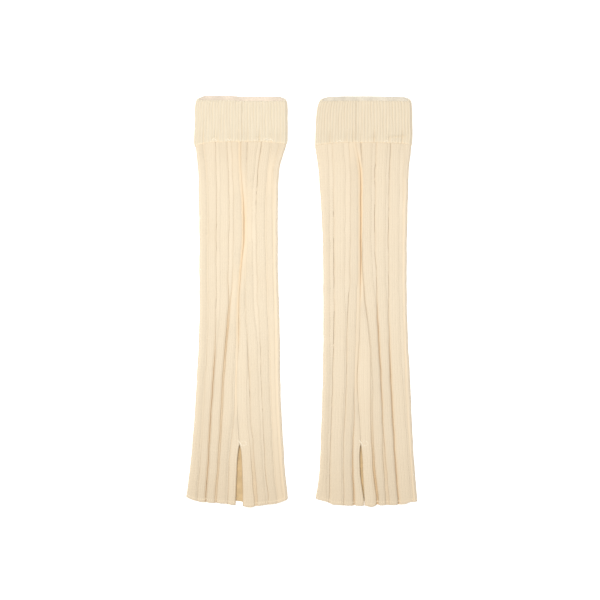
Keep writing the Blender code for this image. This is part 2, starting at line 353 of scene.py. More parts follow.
LEFT_LEG = Leg(
    centre=-70.7,
    left=(-45.5, -43.2, -42.1, -41.2, -41.5, -41.1, -42.0, -44.4, -47.0, -49.1, -52.0, -56.2),
    right=(53.5, 47.1, 44.7, 44.5, 44.6, 45.7, 46.8, 47.2, 48.9, 50.5, 52.4, 55.6),
    seam=(4.2, 4.2, 7.0, 7.4, 4.4, 2.2, 1.8, -0.2, 0.9, 2.6, 2.75, 2.4),
    seam_depths=(0.4, 0.35, 0.8, 0.55, 0.5, 0.6, 0.0, 0.0, 0.4),
    slit=(0, 0, 0, 0, 0, 0, 0, 0, 0, 7.2, 7.4, 8.0),
    furrows_left=(
        Furrow((1.4, 1.6, 4.4, 4.9, 2.2, -0.8, -1.3, -3.2, -4.8, -7.9, -10.0, -10.9),
               1.0, 2.6, 160, 1, (0.0, 0.0, 0.0, 0.0, 0.08, 0.04, 0.18, 0.25, 0.33)),
        Furrow((-8.4, -7.3, -6.2, -6.5, -7.2, -8.0, -11.6, -15.2, -17.3, -18.8, -20.9, -23.4),
               5.0, 2.2, 236, 0, (0.2, 0.2, 0.24, 0.2, 0.42, 0.68, 0.62, 0.56, 0.56)),
        Furrow((-21.7, -21.0, -20.4, -21.0, -20.8, -20.8, -22.7, -25.6, -28.6, -29.9, -31.6, -34.0),
               4.0, 2.0, 194, -1, (0.2, 0.18, 0.26, 0.2, 0.2, 0.28, 1.0, 1.0, 1.0)),
        Furrow((-36.8, -34.3, -32.5, -32.5, -32.7, -32.2, -33.4, -35.8, -38.3, -39.8, -41.8, -44.5),
               1.8, 1.8, 160, 1, (0.05, 0.1, 0.12, 0.08, 0.06, 0.14, 0.18, 0.1, 0.22)),
    ),
    furrows_right=(
        Furrow((11.3, 10.2, 10.4, 10.6, 9.3, 8.8, 11.2, 12.4, 13.4, 16.0, 18.2, 20.8),
               1.0, 3.4, 150, 1, (0.2, 0.08, 0.04, 0.0, 0.12, 0.1, 0.36, 0.26, 0.44), opens=0.4),
        Furrow((24.5, 21.7, 19.0, 19.0, 19.7, 20.3, 23.7, 25.1, 27.1, 28.3, 30.0, 33.2),
               4.6, 3.2, 200, 1, (0.36, 0.24, 0.18, 0.2, 0.16, 0.14, 0.2, 0.18, 0.42)),
        Furrow((37.1, 34.3, 31.4, 31.4, 32.4, 33.2, 35.1, 36.0, 37.9, 39.1, 40.9, 44.2),
               1.8, 1.8, 200, 0, (0.1, 0.06, 0.06, 0.04, 0.03, 0.03, 0.12, 0.1, 0.1)),
        Furrow((46.6, 40.4, 39.0, 39.5, 40.0, 40.9, 41.7, 42.3, 44.0, 45.6, 47.6, 50.8),
               1.2, 1.2, 200, 0, (0.08, 0.06, 0.04, 0.0, 0.0, 0.0, 0.02, 0.0, 0.06)),
    ),
    hem=((-56, 11.2), (-49, 8.3), (-41, 6.2), (-31, 5.4), (-13, 4.2), (-2, 2.4), (8, 1.1), (14, 0.0),
         (21, 1.3), (30, 2.8), (43, 4.2), (51, 6.8), (56, 8.8)),
    join=((-48, 395.1), (-41, 397.6), (-34, 399.4), (-23, 400.5), (-7, 400.8), (6, 400.8), (21, 400.9),
          (28, 400.8), (37, 400.2), (45, 399.4), (55, 398.4)),
    seed=11,
)
RIGHT_LEG = Leg(
    centre=70.7,
    left=(-55.9, -52.9, -49.8, -47.6, -47.1, -47.0, -47.0, -47.6, -49.0, -49.9, -51.1, -55.3),
    right=(49.5, 47.1, 45.6, 44.5, 44.3, 44.4, 45.7, 48.1, 50.0, 51.2, 53.2, 55.9),
    seam=(-11.2, -7.0, -5.9, -5.85, -5.9, -6.6, -7.6, -9.9, -7.2, -6.0, -5.2, -2.3),
    seam_depths=(0.2, 0.85, 0.95, 0.95, 0.4, 0.16, 0.35, 0.1, 0.3),
    slit=(0, 0, 0, 0, 0, 0, 0, 0, 0, 5.3, 4.1, 0.8),
    furrows_left=(
        Furrow((-13.8, -10.0, -8.8, -8.8, -9.0, -10.2, -11.5, -12.9, -14.0, -15.2, -15.3, -13.9),
               1.0, 2.4, 110, 1, (0.05, 0.0, 0.02, 0.02, 0.04, 0.06, 0.08, 0.5, 1.0)),
        Furrow((-21.9, -20.2, -20.0, -20.2, -20.6, -21.2, -21.9, -22.5, -24.4, -25.6, -25.8, -25.2),
               6.0, 2.4, 225, 1, (0.2, 0.2, 0.2, 0.28, 0.24, 0.36, 0.36, 0.36, 0.34)),
        Furrow((-39.8, -38.6, -38.0, -37.6, -37.5, -37.3, -37.5, -38.0, -39.5, -40.4, -41.1, -41.8),
               5.0, 3.2, 175, 1, (0.16, 0.2, 0.3, 0.34, 0.3, 0.3, 0.3, 0.3, 0.3)),
    ),
    furrows_right=(
        Furrow((-5.8, -4.2, -3.8, -4.3, -3.8, -1.2, 4.2, 6.1, 6.2, 7.2, 9.0, 12.6),
               1.0, 2.2, 150, 0, (0.3, 0.0, 0.0, 0.3, 0.3, 0.22, 0.22, 0.42, 0.95)),
        Furrow((9.0, 8.0, 7.7, 7.5, 9.0, 11.2, 13.5, 16.0, 17.8, 19.0, 21.0, 23.4),
               4.4, 1.9, 240, 1, (0.34, 0.3, 0.32, 0.3, 0.4, 1.0, 0.95, 0.7, 0.38), opens=2.0),
        Furrow((25.2, 24.0, 23.2, 22.6, 22.9, 23.7, 25.0, 26.6, 28.9, 30.3, 32.2, 34.8),
               3.8, 1.9, 235, 1, (0.34, 0.3, 0.3, 0.28, 0.34, 0.5, 1.0, 0.95, 1.0)),
        Furrow((39.6, 38.5, 38.3, 37.8, 37.7, 38.3, 39.8, 41.5, 44.2, 46.0, 48.0, 50.4),
               4.4, 2.4, 150, 1, (0.05, 0.16, 0.1, 0.05, 0.05, 0.08, 0.16, 0.08, 0.15)),
    ),
    hem=((-55, 9.2), (-47, 7.2), (-42, 5.6), (-37, 3.2), (-22, 2.2), (0, 1.8), (6, 0.5), (12, 2.4), (33, 2.8),
         (44, 4.0), (48, 6.0), (56, 6.4)),
    join=((-56, 396.5), (-48, 398.0), (-39, 399.1), (-23, 400.0), (-12, 400.2), (10, 399.9), (19, 399.6),
          (28, 399.4), (37, 399.1), (45, 398.5), (51, 396.5)),
    seed=47,
)
# Places where the yarn that links leg and cuff stands up in bunches, laid in a paler yarn as painted
# highlight.
LEFT_BUNCHES = (
    ((-26.4, 402.8), (-25.0, 404.2), (-23.4, 402.6), (-22.2, 401.6)),
    ((-11.6, 402.4), (-10.2, 403.8), (-8.4, 402.0), (-7.0, 403.0)),
    ((30.0, 402.9), (32.4, 404.1), (34.4, 402.1), (37.0, 403.7), (39.2, 401.9)),
)
RIGHT_BUNCHES = (
    ((-31.0, 400.6), (-29.0, 402.0), (-27.0, 400.8)),
    ((20.6, 400.6), (22.8, 401.8), (25.0, 400.4)),
)
LEFT_CUFF = Cuff(
    heights=(450.0, 448.5, 446.0, 441.0, 426.0, 408.0, 400.0, 394.0),
    left=(-40.5, -43.2, -44.8, -46.2, -46.4, -47.2, -47.6, -46.8),
    right=(51.6, 53.2, 54.4, 55.2, 55.6, 55.6, 55.2, 53.9),
    seam=(5.5, 5.5, 5.5, 5.5, 5.5, 5.6, 5.3, 5.3),
    ribs_left=15,
    ribs_right=14,
    rim=((-45, 451.5), (-8, 451.5), (3, 450.5), (55, 450.5)),
    creases=(Crease((17.5, JOIN + 3.2), (27.5, JOIN + 3.8), 0.8, 1.0),
             Crease((-29.0, JOIN + 2.6), (-20.0, JOIN + 3.0), 0.5, 1.0)),
)
RIGHT_CUFF = Cuff(
    heights=(450.0, 448.5, 446.0, 441.0, 434.0, 426.0, 408.0, 394.0),
    left=(-46.6, -48.9, -51.0, -53.3, -54.5, -55.2, -56.1, -56.3),
    right=(46.4, 47.9, 49.1, 50.1, 50.4, 50.6, 50.9, 50.0),
    seam=(-11.2, -11.2, -11.1, -11.1, -11.1, -11.0, -11.2, -11.2),
    ribs_left=13,
    ribs_right=17,
    rim=((-50, 450.2), (-25, 450.9), (6, 450.9), (30, 450.6), (50, 450.0)),
    creases=(Crease((22.0, JOIN + 3.0), (47.0, JOIN + 5.0), 1.1, 1.2),
             Crease((1.5, JOIN + 2.6), (13.0, JOIN + 3.2), 0.6, 1.0)),
)


def ramp(value: Array, start: float, end: float) -> Array:
    """Soft step from 0 at start to 1 at end."""
    t = np.clip((value - start) / (end - start), 0.0, 1.0)
    return t * t * (3 - 2 * t)


def waver(height: Array, seed: int, reach: float, longest: float) -> Array:
    """Slow uneven wander of a hand-made line.

    Args:
        height: Where along the line, in millimetres.
        seed: Which wander; the same seed gives the same one.
        reach: How far it strays, in millimetres.
        longest: Its longest wave, in millimetres.

    Returns:
        The wander at each height.
    """
    phases = np.random.default_rng(seed).uniform(0, 2 * math.pi, 3)
    total = np.zeros_like(height, dtype=float)
    for share, phase in zip((1.0, 0.6, 0.33), phases):
        total = total + share * np.sin(2 * math.pi * height / (longest * share) + phase)
    return total * reach / 1.93


def along(points: tuple[tuple[float, float], ...], x: Array) -> Array:
    """Height of an edge that runs across the cloth, at each x."""
    return np.interp(x, [p[0] for p in points], [p[1] for p in points])


def leg_painted_shade(height: Array) -> Array:
    """Painted shade on a leg at each height: most at the hem, as light falls off, and a little in the cuff's
    shadow.
    """
    return np.interp(height, *zip(*LEG_PAINTED_SHADE))


@dataclass(frozen=True)
class Rounding:
    """How an edge of a wall is rounded: over which reach, and how far each face closes in on the other."""

    reach: float
    depth: float


@dataclass
class Section:
    """Columns of a cross-section at many heights: each array is rows by columns.

    Places are x and z; under is 0 on the upper face and 1 on the underside; wale counts stitches across; knit
    is 1 on ribs and 0 in furrows; shade is 1 at the floor of a furrow; relief is how far wales stand up, from
    0 to 1.
    """

    x: Array
    z: Array
    under: Array
    wale: Array
    knit: Array
    shade: Array
    relief: Array

    @staticmethod
    def joined(parts: list["Section"]) -> "Section":
        """One section from strips laid side by side."""
        names = ("x", "z", "under", "wale", "knit", "shade", "relief")
        return Section(*[np.concatenate([getattr(p, n) for p in parts], axis=1) for n in names])


def between(values: Array, low: float, high: float) -> Array:
    """Whether each value lies between two limits."""
    return (values > low) & (values < high)


def filled(height: Array, row: Array | float) -> Array:
    """A row of values repeated down every height."""
    return np.broadcast_to(np.asarray(row, float), height.shape).copy()


class Strip:
    """Neighbouring columns between two lines of a cross-section, in their order round the tube."""

    def __init__(self, count: int, wales: float, closed: bool = False) -> None:
        """Sets the columns up.

        Args:
            count: Number of steps from the first line to the second.
            wales: Number of stitches across the strip.
            closed: Whether the strip also holds the column on its second line.
        """
        self.steps = count
        self.count = count + int(closed)
        self.share = np.arange(self.count) / count
        self.wales = wales
        self.first_wale = 0.0

    def wale_row(self, height: Array) -> Array:
        """Each column's count of stitches from the seam, at every height."""
        return filled(height, self.first_wale + self.wales * self.share)

    def wale_relief(self, width: Array) -> Array:
        """How far the strip's wales stand up where it is so wide, from 0 to 1."""
        return np.clip(width / (FULL_WALE * self.wales), 0, 1) ** 2

    def place(self, height: Array) -> Section:
        """The strip's columns at each height."""
        raise NotImplementedError


def sunk(place: Array, start: float, reach: float) -> Array:
    """How deep a place lies, from 0 at a start below a leg's crests to 1 a reach further down."""
    return np.clip((LEG_LAYERS.top - start - place) / reach, 0, 1)


def rib_arc(steps: int, steep: float, half: bool) -> tuple[Array, Array]:
    """Section of one rib, with its points an equal way apart along the cloth.

    Args:
        steps: Number of steps along the section.
        steep: How square its shoulders are.
        half: Whether it is only the half from the crest to one furrow.

    Returns:
        Places across from 1 to -1 (or from 0 to -1), and the rise at each, from 0 to 1.
    """
    fine = np.linspace(0.0, math.pi, 2 * HALF_ARC)
    across, rise = np.cos(fine), np.sin(fine)
    across = np.sign(across) * np.abs(across) ** (2 / steep)
    if half:
        across, rise = across[HALF_ARC:], rise[HALF_ARC:]
        across = across - across[0] * np.linspace(1, 0, len(across))
    steps_along = np.hypot(np.diff(across) * HALF_RIB, np.diff(rise) * LEG_LAYERS.rib)
    way = np.concatenate([[0], np.cumsum(steps_along)])
    even = np.linspace(0, way[-1], steps + 1)
    return np.interp(even, way, across), np.interp(even, way, rise)


class RibStrip(Strip):
    """One wide rib of the upper face, from its right line to its left line."""

    # Start and reach, below the crests, of feet so deep that a narrow rib sinks or that a rib hangs over.
    SINKS = (0.3, 1.6)
    HANGS = (0.4, 1.3)
    # How the crest wavers, and the least height that it has over its feet.
    CREST_WAVER = (0.05, 61.0)
    LEAST_RISE = 0.05
    # How square the shoulders of a whole rib are, and of one that ends in a side fold.
    SHOULDERS = {True: 3.4, False: 3.0}

    def __init__(self, right: LineAt, left: LineAt, floors: tuple[LineAt, LineAt], tucks: tuple[float, float],
                 wales: int, shape: RibShape, seed: int, seam: int = 0, closed: bool = False) -> None:
        """Sets the rib up.

        Args:
            right: The line of its right foot.
            left: The line of its left foot.
            floors: Heights of its right and left foot.
            tucks: How far it hangs over the furrow at its right and at its left.
            wales: Number of stitches across it.
            shape: Whether it is whole or ends in a side fold.
            seed: Which unevenness it has.
            seam: Which foot is at the seam: 1 its right one, -1 its left one, 0 neither.
            closed: Whether the strip holds the column on its left line.
        """
        super().__init__(wales * 4, wales, closed)
        self.seam = seam
        self.right, self.left, self.floors, self.tucks = right, left, floors, tucks
        self.shape, self.seed = shape, seed
        whole = shape is RibShape.WHOLE
        across, rise = rib_arc(self.steps, self.SHOULDERS[whole], not whole)
        if whole:
            self.across, self.rise = (1 - across) / 2, rise
        else:
            self.across, self.rise = -across, rise
            if shape is RibShape.LEFT_EDGE:
                self.across, self.rise = 1 - self.across[::-1], self.rise[::-1]
        self.across = self.across[: self.count]
        self.rise = self.rise[: self.count]

    def place(self, height: Array) -> Section:
        """The rib's columns at each height.

        Args:
            height: Height of each row, in every column.

        Returns:
            The strip's section.
        """
        layers = LEG_LAYERS
        right, left = self.right(height), self.left(height)
        width = right - left
        near, far = (line(height) for line in self.floors)
        full = np.ones_like(width)
        if self.shape is RibShape.WHOLE:
            narrow = 1 - np.minimum(1.0, width / FULL_RIB)
            full = 1 - sunk(np.minimum(near, far), *self.SINKS) * narrow
            full = full + waver(height, self.seed, *self.CREST_WAVER)
        beyond = (self.across - 0.5) * 2
        bulge = np.abs(beyond) ** 5 * np.sin(math.pi * self.rise)
        hang_near, hang_far = (sunk(foot, *self.HANGS) for foot in (near, far))
        sideways = np.where(beyond < 0, self.tucks[0] * hang_near, -self.tucks[1] * hang_far) * bulge
        if self.shape is RibShape.RIGHT_EDGE:
            sideways = np.where(beyond < 0, 0.0, sideways)
        if self.shape is RibShape.LEFT_EDGE:
            sideways = np.where(beyond > 0, 0.0, sideways)
        floor = near + (far - near) * self.across
        top = layers.base + layers.rib * full
        floor = np.minimum(floor, top - self.LEAST_RISE)
        z = floor + (top - floor) * self.rise
        if self.seam:
            away = width * (self.across if self.seam > 0 else 1 - self.across)
            z = z - (top - floor) * self.rise * SEAM_SLOPE * np.exp(-((away / SEAM_REACH) ** 2))
        # Painted shade: the lower the cloth lies under the crests, the darker its colour.
        shade = sunk(z, 0.0, layers.rib) ** SHADE_CURVE
        return Section(right - width * self.across + sideways, z, filled(height, 0.0), self.wale_row(height),
                       filled(height, 1.0), shade, self.wale_relief(width))


class FurrowStrip(Strip):
    """The floor of one furrow, from its right line to its left line."""

    # Start and reach, below the ribs' crests, of a floor so deep that its own stitches show.
    OPENS = (0.25, 0.6)
    # How far it arches up, as a share of its width, how much less where it is level, and up to which width.
    ARCH = 0.3
    LEVEL_ARCH = 0.24
    ARCH_WIDTH = 4.0
    # How far under the ribs' crests it stays.
    UNDER_CREST = 0.1

    def __init__(self, right: LineAt, left: LineAt, furrow: Furrow) -> None:
        """Sets the floor up between two lines."""
        super().__init__(5, 2)
        self.right, self.left, self.furrow = right, left, furrow

    def place(self, height: Array) -> Section:
        """The floor's columns at each height.

        Args:
            height: Height of each row, in every column.

        Returns:
            The strip's section.
        """
        right, left = self.right(height), self.left(height)
        near, far = self.furrow.floor(1)(height), self.furrow.floor(-1)(height)
        bend = self.ARCH - self.LEVEL_ARCH * self.furrow.level(height)
        arch = np.sin(math.pi * self.share) ** 0.6 * bend * np.minimum(right - left, self.ARCH_WIDTH)
        z = np.minimum(near + (far - near) * self.share + arch, LEG_LAYERS.top - self.UNDER_CREST)
        # Painted shade: the lower the floor lies under the crests, the darker its colour.
        shade = sunk(z, 0.0, LEG_LAYERS.rib) ** SHADE_CURVE
        open_floor = sunk(np.minimum(near, far), *self.OPENS)
        return Section(right + (left - right) * self.share, z, filled(height, 0.0), self.wale_row(height),
                       1 - open_floor, shade, open_floor + (1 - open_floor) * self.wale_relief(right - left))


class FoldStrip(Strip):
    """The rounded side fold of a tube."""

    def __init__(self, edge: LineAt, side: int, layers: Layers, ribs: int, columns: int) -> None:
        """Sets the fold up.

        Args:
            edge: The outermost line.
            side: -1 for the left fold, from the upper face down, 1 for the right fold, from the underside up.
            layers: Heights in the tube.
            ribs: Number of fine ribs round it, or 0 where a wide rib runs over it.
            columns: Steps round it.
        """
        super().__init__(columns, 2 * ribs or 3)
        self.edge, self.side, self.layers, self.ribs = edge, side, layers, ribs

    def place(self, height: Array) -> Section:
        """The fold's columns at each height.

        Args:
            height: Height of each row, in every column.

        Returns:
            The strip's section.
        """
        radius = self.layers.top / 2
        angle = math.pi / 2 - math.pi * self.share if self.side < 0 else math.pi * self.share - math.pi / 2
        valley = fine_rib(self.share * self.ribs) if self.ribs else np.ones(self.count)
        reach = radius - self.layers.rib * (1 - valley) * bool(self.ribs)
        x = self.edge(height) - self.side * radius + self.side * reach * np.cos(angle)
        z = radius + reach * np.sin(angle)
        wale = self.first_wale + 0.5 * bool(self.ribs) + self.wales * self.share
        knit = valley if self.ribs else 1.0
        # Painted shade in the valleys of the fine ribs round the fold.
        return Section(x, filled(height, z), filled(height, 0.5 - 0.5 * np.sin(angle)), filled(height, wale),
                       filled(height, knit), filled(height, 1 - valley), filled(height, 1.0))


class RestStrip(Strip):
    """One rib of the leg's resting side, pressed flat, from its left furrow to its right one."""

    PLACES = (0.0, 0.07, 0.15, 0.32, 0.5, 0.68, 0.85, 0.93)
    GROOVE = (1.0, 0.7, 0.16, 0.0, 0.0, 0.0, 0.16, 0.7)

    def __init__(self, left: LineAt, right: LineAt, depths: tuple[float, float]) -> None:
        """Sets the rib up between two lines.

        Args:
            left: The line of its left furrow.
            right: The line of its right furrow.
            depths: The depths of those two furrows.
        """
        super().__init__(8, 4)
        self.left, self.right, self.depths = left, right, depths
        self.share = np.asarray(self.PLACES)

    def place(self, height: Array) -> Section:
        """The rib's columns at each height.

        Args:
            height: Height of each row, in every column.

        Returns:
            The strip's section.
        """
        left, right = self.left(height), self.right(height)
        depth = np.where(self.share < 0.5, self.depths[0], self.depths[1])
        z = depth * np.asarray(self.GROOVE)
        # Painted shade in the grooves of the resting side.
        return Section(left + (right - left) * self.share, filled(height, z), filled(height, 1.0),
                       self.wale_row(height), filled(height, 1.0),
                       filled(height, np.asarray(self.GROOVE) * 0.8), filled(height, 1.0))


def fine_rib(place: Array) -> Array:
    """Rise of fine ribs that are one unit apart, from 0 in the valleys to 1 on the crests."""
    return np.abs(np.sin(math.pi * place)) ** 0.75


class FineRibStrip(Strip):
    """Fine ribs of equal width side by side, on the cuff's upper face or its resting side."""

    REST_DEPTH = 0.7
    # Two slow waves over the ribs: turns across the strip, height of a turn and start.
    WAVES = ((2.3, 41.0, 0.0), (5.1, -67.0, 1.0))
    # How far ribs stray sideways, as a share of the strip, and how far above the join they are pulled in.
    STRAY = 0.0045
    PULL_FADE = (2.0, 17.0)
    # How much painted shade darkens the yarn where it is pulled in and where it is creased.
    PULL_SHADE = 0.7
    CREASE_SHADE = 0.6
    # How deep the valleys lie under the wall, and the share of their rise that the crests have at least.
    VALLEY = 0.3
    CREST = 0.76

    def __init__(self, first: LineAt, second: LineAt, ribs: int, columns: int, under: bool,
                 closed: bool = False, gathers: tuple[float, ...] = (),
                 creases: tuple[Crease, ...] = ()) -> None:
        """Sets the ribs up.

        Args:
            first: The line where they start, going round the tube.
            second: The line where they end.
            ribs: Number of ribs.
            columns: Steps across each rib.
            under: Whether they are on the resting side.
            closed: Whether the strip holds the column on its second line.
            gathers: Where the leg's furrows pull the cuff in above the join.
            creases: The troughs across them.
        """
        super().__init__(ribs * columns, 2 * ribs, closed)
        self.first, self.second, self.ribs, self.under = first, second, ribs, under
        self.gathers, self.creases = gathers, creases

    def place(self, height: Array) -> Section:
        """The ribs' columns at each height.

        Args:
            height: Height of each row, in every column.

        Returns:
            The strip's section.
        """
        first, second = self.first(height), self.second(height)
        layers = CUFF_LAYERS
        rise = filled(height, fine_rib(self.share * self.ribs))
        wave = sum(np.sin(2 * math.pi * (turns * self.share + height / turn) + start)
                   for turns, turn, start in self.WAVES)
        stray = self.STRAY * wave * np.sin(math.pi * self.share)
        x = first + (second - first) * (self.share + stray)
        pulled, creased = np.zeros_like(x), np.zeros_like(x)
        if self.under:
            z = self.REST_DEPTH * (1 - rise)
        else:
            fade = 1 - ramp(height - JOIN, *self.PULL_FADE)
            for i, place in enumerate(self.gathers):
                pulled = pulled + fade * np.exp(-(((x - place) / (1.3 + 0.4 * math.sin(3.7 * i))) ** 2))
            crest = self.CREST + 0.13 * wave
            z = layers.base - self.VALLEY + (layers.rib + self.VALLEY) * rise * crest - GATHER * pulled
            for crease in self.creases:
                creased = creased + crease.at(x, height)
            z = z - creased
        # Painted shade in the valleys between fine ribs, where the cuff is pulled in and in its creases.
        return Section(x, z, filled(height, float(self.under)),
                       filled(height, self.first_wale + 0.5 + self.wales * self.share), rise,
                       1 - rise + self.PULL_SHADE * pulled + self.CREASE_SHADE * creased, filled(height, 1.0))


class Tube:
    """A knitted wall bent into a flattened tube, with its strips, rows and edges."""

    REST_RIBS = 9

    def __init__(self, layers: Layers, strips: list[Strip], rows: Array, course: float,
                 real_height: Callable[[Array, Section], Array], ends: tuple[Rounding, Rounding],
                 thin_end: float = 0.0, tone: LineAt = np.zeros_like) -> None:
        """Sets the tube up.

        Args:
            layers: Heights in the tube.
            strips: Its strips, from the seam round the left fold, the resting side and the right fold.
            rows: Heights of its rows of corners, before they bend with the tube's ends.
            course: Height of one row of stitches.
            real_height: Gives each corner's height from its row and the cross-section there.
            ends: The rounding of its lower and of its upper edge.
            thin_end: How much thinner the tube is at its lower end, as a share of its height.
            tone: Gives the painted shade of the upper face at each height.
        """
        self.layers, self.strips, self.rows, self.course = layers, strips, rows, course
        self.real_height, self.ends, self.thin_end, self.tone = real_height, ends, thin_end, tone
        wale = 0.0
        for strip in strips:
            strip.first_wale = wale
            wale += strip.wales
        self.columns = sum(strip.count for strip in strips)

    def section(self, height: Array) -> Section:
        """The whole cross-section.

        Args:
            height: Height of each row, in every column.

        Returns:
            The strips' sections side by side.
        """
        parts, first = [], 0
        for strip in self.strips:
            parts.append(strip.place(height[:, first: first + strip.count]))
            first += strip.count
        return Section.joined(parts)

    def rounding(self) -> Array:
        """How far each row's two faces close in on each other.

        Returns:
            A share of the wall for each row.
        """
        low, high = self.rows[0], self.rows[-1]
        result = np.zeros(len(self.rows))
        for end, edge in zip(self.ends, (self.rows - low, high - self.rows)):
            t = np.clip(1 - edge / end.reach, 0, 1)
            result = np.maximum(result, end.depth * (1 - np.sqrt(1 - t * t)))
        return result[:, None]

    def corners(self) -> tuple[Array, Array, Section, Array]:
        """Places of the tube's corners.

        Returns:
            Outer corners and inner corners in millimetres (rows, columns, 3), the section, and each corner's
            height.
        """
        nominal = np.broadcast_to(self.rows[:, None], (len(self.rows), self.columns))
        flat = self.section(nominal)
        height = self.real_height(nominal, flat)
        real = self.section(height)
        middle = (real.x.min(axis=1) + real.x.max(axis=1))[:, None] / 2
        half = (real.x.max(axis=1) - real.x.min(axis=1))[:, None] / 2
        narrow = (half - self.layers.side) / half
        inner_x = middle + (real.x - middle) * narrow
        inner_z = self.layers.back + self.layers.hollow * (1 - real.under) + self.inside_relief(real, height)
        pinch = self.rounding()
        x = real.x + (inner_x - real.x) * pinch
        z = real.z + (inner_z - real.z) * pinch
        inside_x = inner_x + (real.x - inner_x) * pinch
        inside_z = inner_z + (real.z - inner_z) * pinch
        thin = 1 - self.thin_end * (1 - ramp(self.rows - self.rows[0], 0.0, THIN_BLEND))[:, None]
        z, inside_z = z * thin, inside_z * thin
        return np.stack([x, height, z], axis=2), np.stack([inside_x, height, inside_z], axis=2), real, height

    def inside_relief(self, section: Section, height: Array) -> Array:
        """How far the inner face stands up: only the far rim, which shows past the near one, has ribs."""
        return RIM_RIBS * section.knit * section.under * ramp(height, *RIM_RIBS_START)

    def mesh(self, name: str, centre: float, skip: int) -> bpy.types.Mesh:
        """Closed wall through the tube's corners, with its stitch map and its masks.

        Args:
            name: Name of the mesh.
            centre: Where the tube's own centre line lies, in millimetres.
            skip: The inner face takes one row in this many.

        Returns:
            The mesh, in metres.
        """
        outer, inner, section, height = self.corners()
        rows, columns = outer.shape[:2]
        end = 5
        picks = sorted({*range(end), *range(end, rows - end, skip), *range(rows - end, rows)})
        inner = inner[picks]
        points = np.concatenate([outer.reshape(-1, 3), inner.reshape(-1, 3)])
        points = (points + np.array([centre, -LENGTH / 2, 0.0])) * MM
        first = np.arange(rows * columns).reshape(rows, columns)
        second = np.arange(len(picks) * columns).reshape(len(picks), columns) + rows * columns
        faces = self.quads(first) + [face[::-1] for face in self.quads(second)]
        low, high = [first[0], second[0]], [first[-1], second[-1]]
        for j in range(columns - 1):
            faces.append([low[0][j], low[0][j + 1], low[1][j + 1], low[1][j]])
            faces.append([high[0][j + 1], high[0][j], high[1][j], high[1][j + 1]])
        for k, (start, stop) in enumerate(zip(picks, picks[1:])):
            for column, turn in ((0, 1), (columns - 1, -1)):
                edge = [second[k][column], second[k + 1][column], *first[start: stop + 1, column][::-1]]
                faces.append([int(v) for v in edge[::turn]])
        mesh = bpy.data.meshes.new(name)
        mesh.from_pydata(points.tolist(), [], faces)
        self.add_masks(mesh, section, height, picks)
        mesh.shade_smooth()
        return mesh

    @staticmethod
    def quads(index: Array) -> list[list[int]]:
        """Faces of a grid of corners, outward on the outer skin."""
        corners = [index[:-1, :-1], index[1:, :-1], index[1:, 1:], index[:-1, 1:]]
        return np.stack([c.ravel() for c in corners], axis=1).tolist()

    def add_masks(self, mesh: bpy.types.Mesh, section: Section, height: Array, picks: list[int]) -> None:
        """Gives the mesh its stitch map, its masks and the strength of its relief.

        Args:
            mesh: The tube's mesh.
            section: The section at every outer corner.
            height: Height of every outer corner.
            picks: Rows that the inner face has.
        """
        course = height / self.course
        fade = ramp(self.rows - self.rows[0], *LOWER_FADE) * ramp(self.rows[-1] - self.rows, *UPPER_FADE)
        relief = section.relief * fade[:, None]
        nothing = np.zeros_like(height[picks])
        values = {
            "wale": (section.wale, section.wale[picks]),
            "course": (course, course[picks]),
            "knit": (section.knit, section.knit[picks]),
            # furrow and tone carry painted shade: in furrows, valleys and creases, towards the hem and under
            # the cuff; inside marks the inner face, whose colour is painted shade in a leg and painted light
            # on a cuff's far rim.
            "furrow": (section.shade, nothing),
            "tone": (self.tone(height) * (1 - section.under), nothing),
            "under": (section.under, section.under[picks]),
            "relief": (relief, nothing + 1),
            "inside": (np.zeros_like(height), nothing + 1),
        }
        flat = {key: np.concatenate([part.ravel() for part in parts]) for key, parts in values.items()}
        for key, value in flat.items():
            mesh.attributes.new(key, "FLOAT", "POINT").data.foreach_set("value", value.astype(np.float32))
        loops = np.empty(len(mesh.loops), np.int32)
        mesh.loops.foreach_get("vertex_index", loops)
        stitch_map = np.stack([flat["wale"][loops], flat["course"][loops]], axis=1)
        mesh.uv_layers.new(name="Stitches").data.foreach_set("uv", stitch_map.astype(np.float32).ravel())


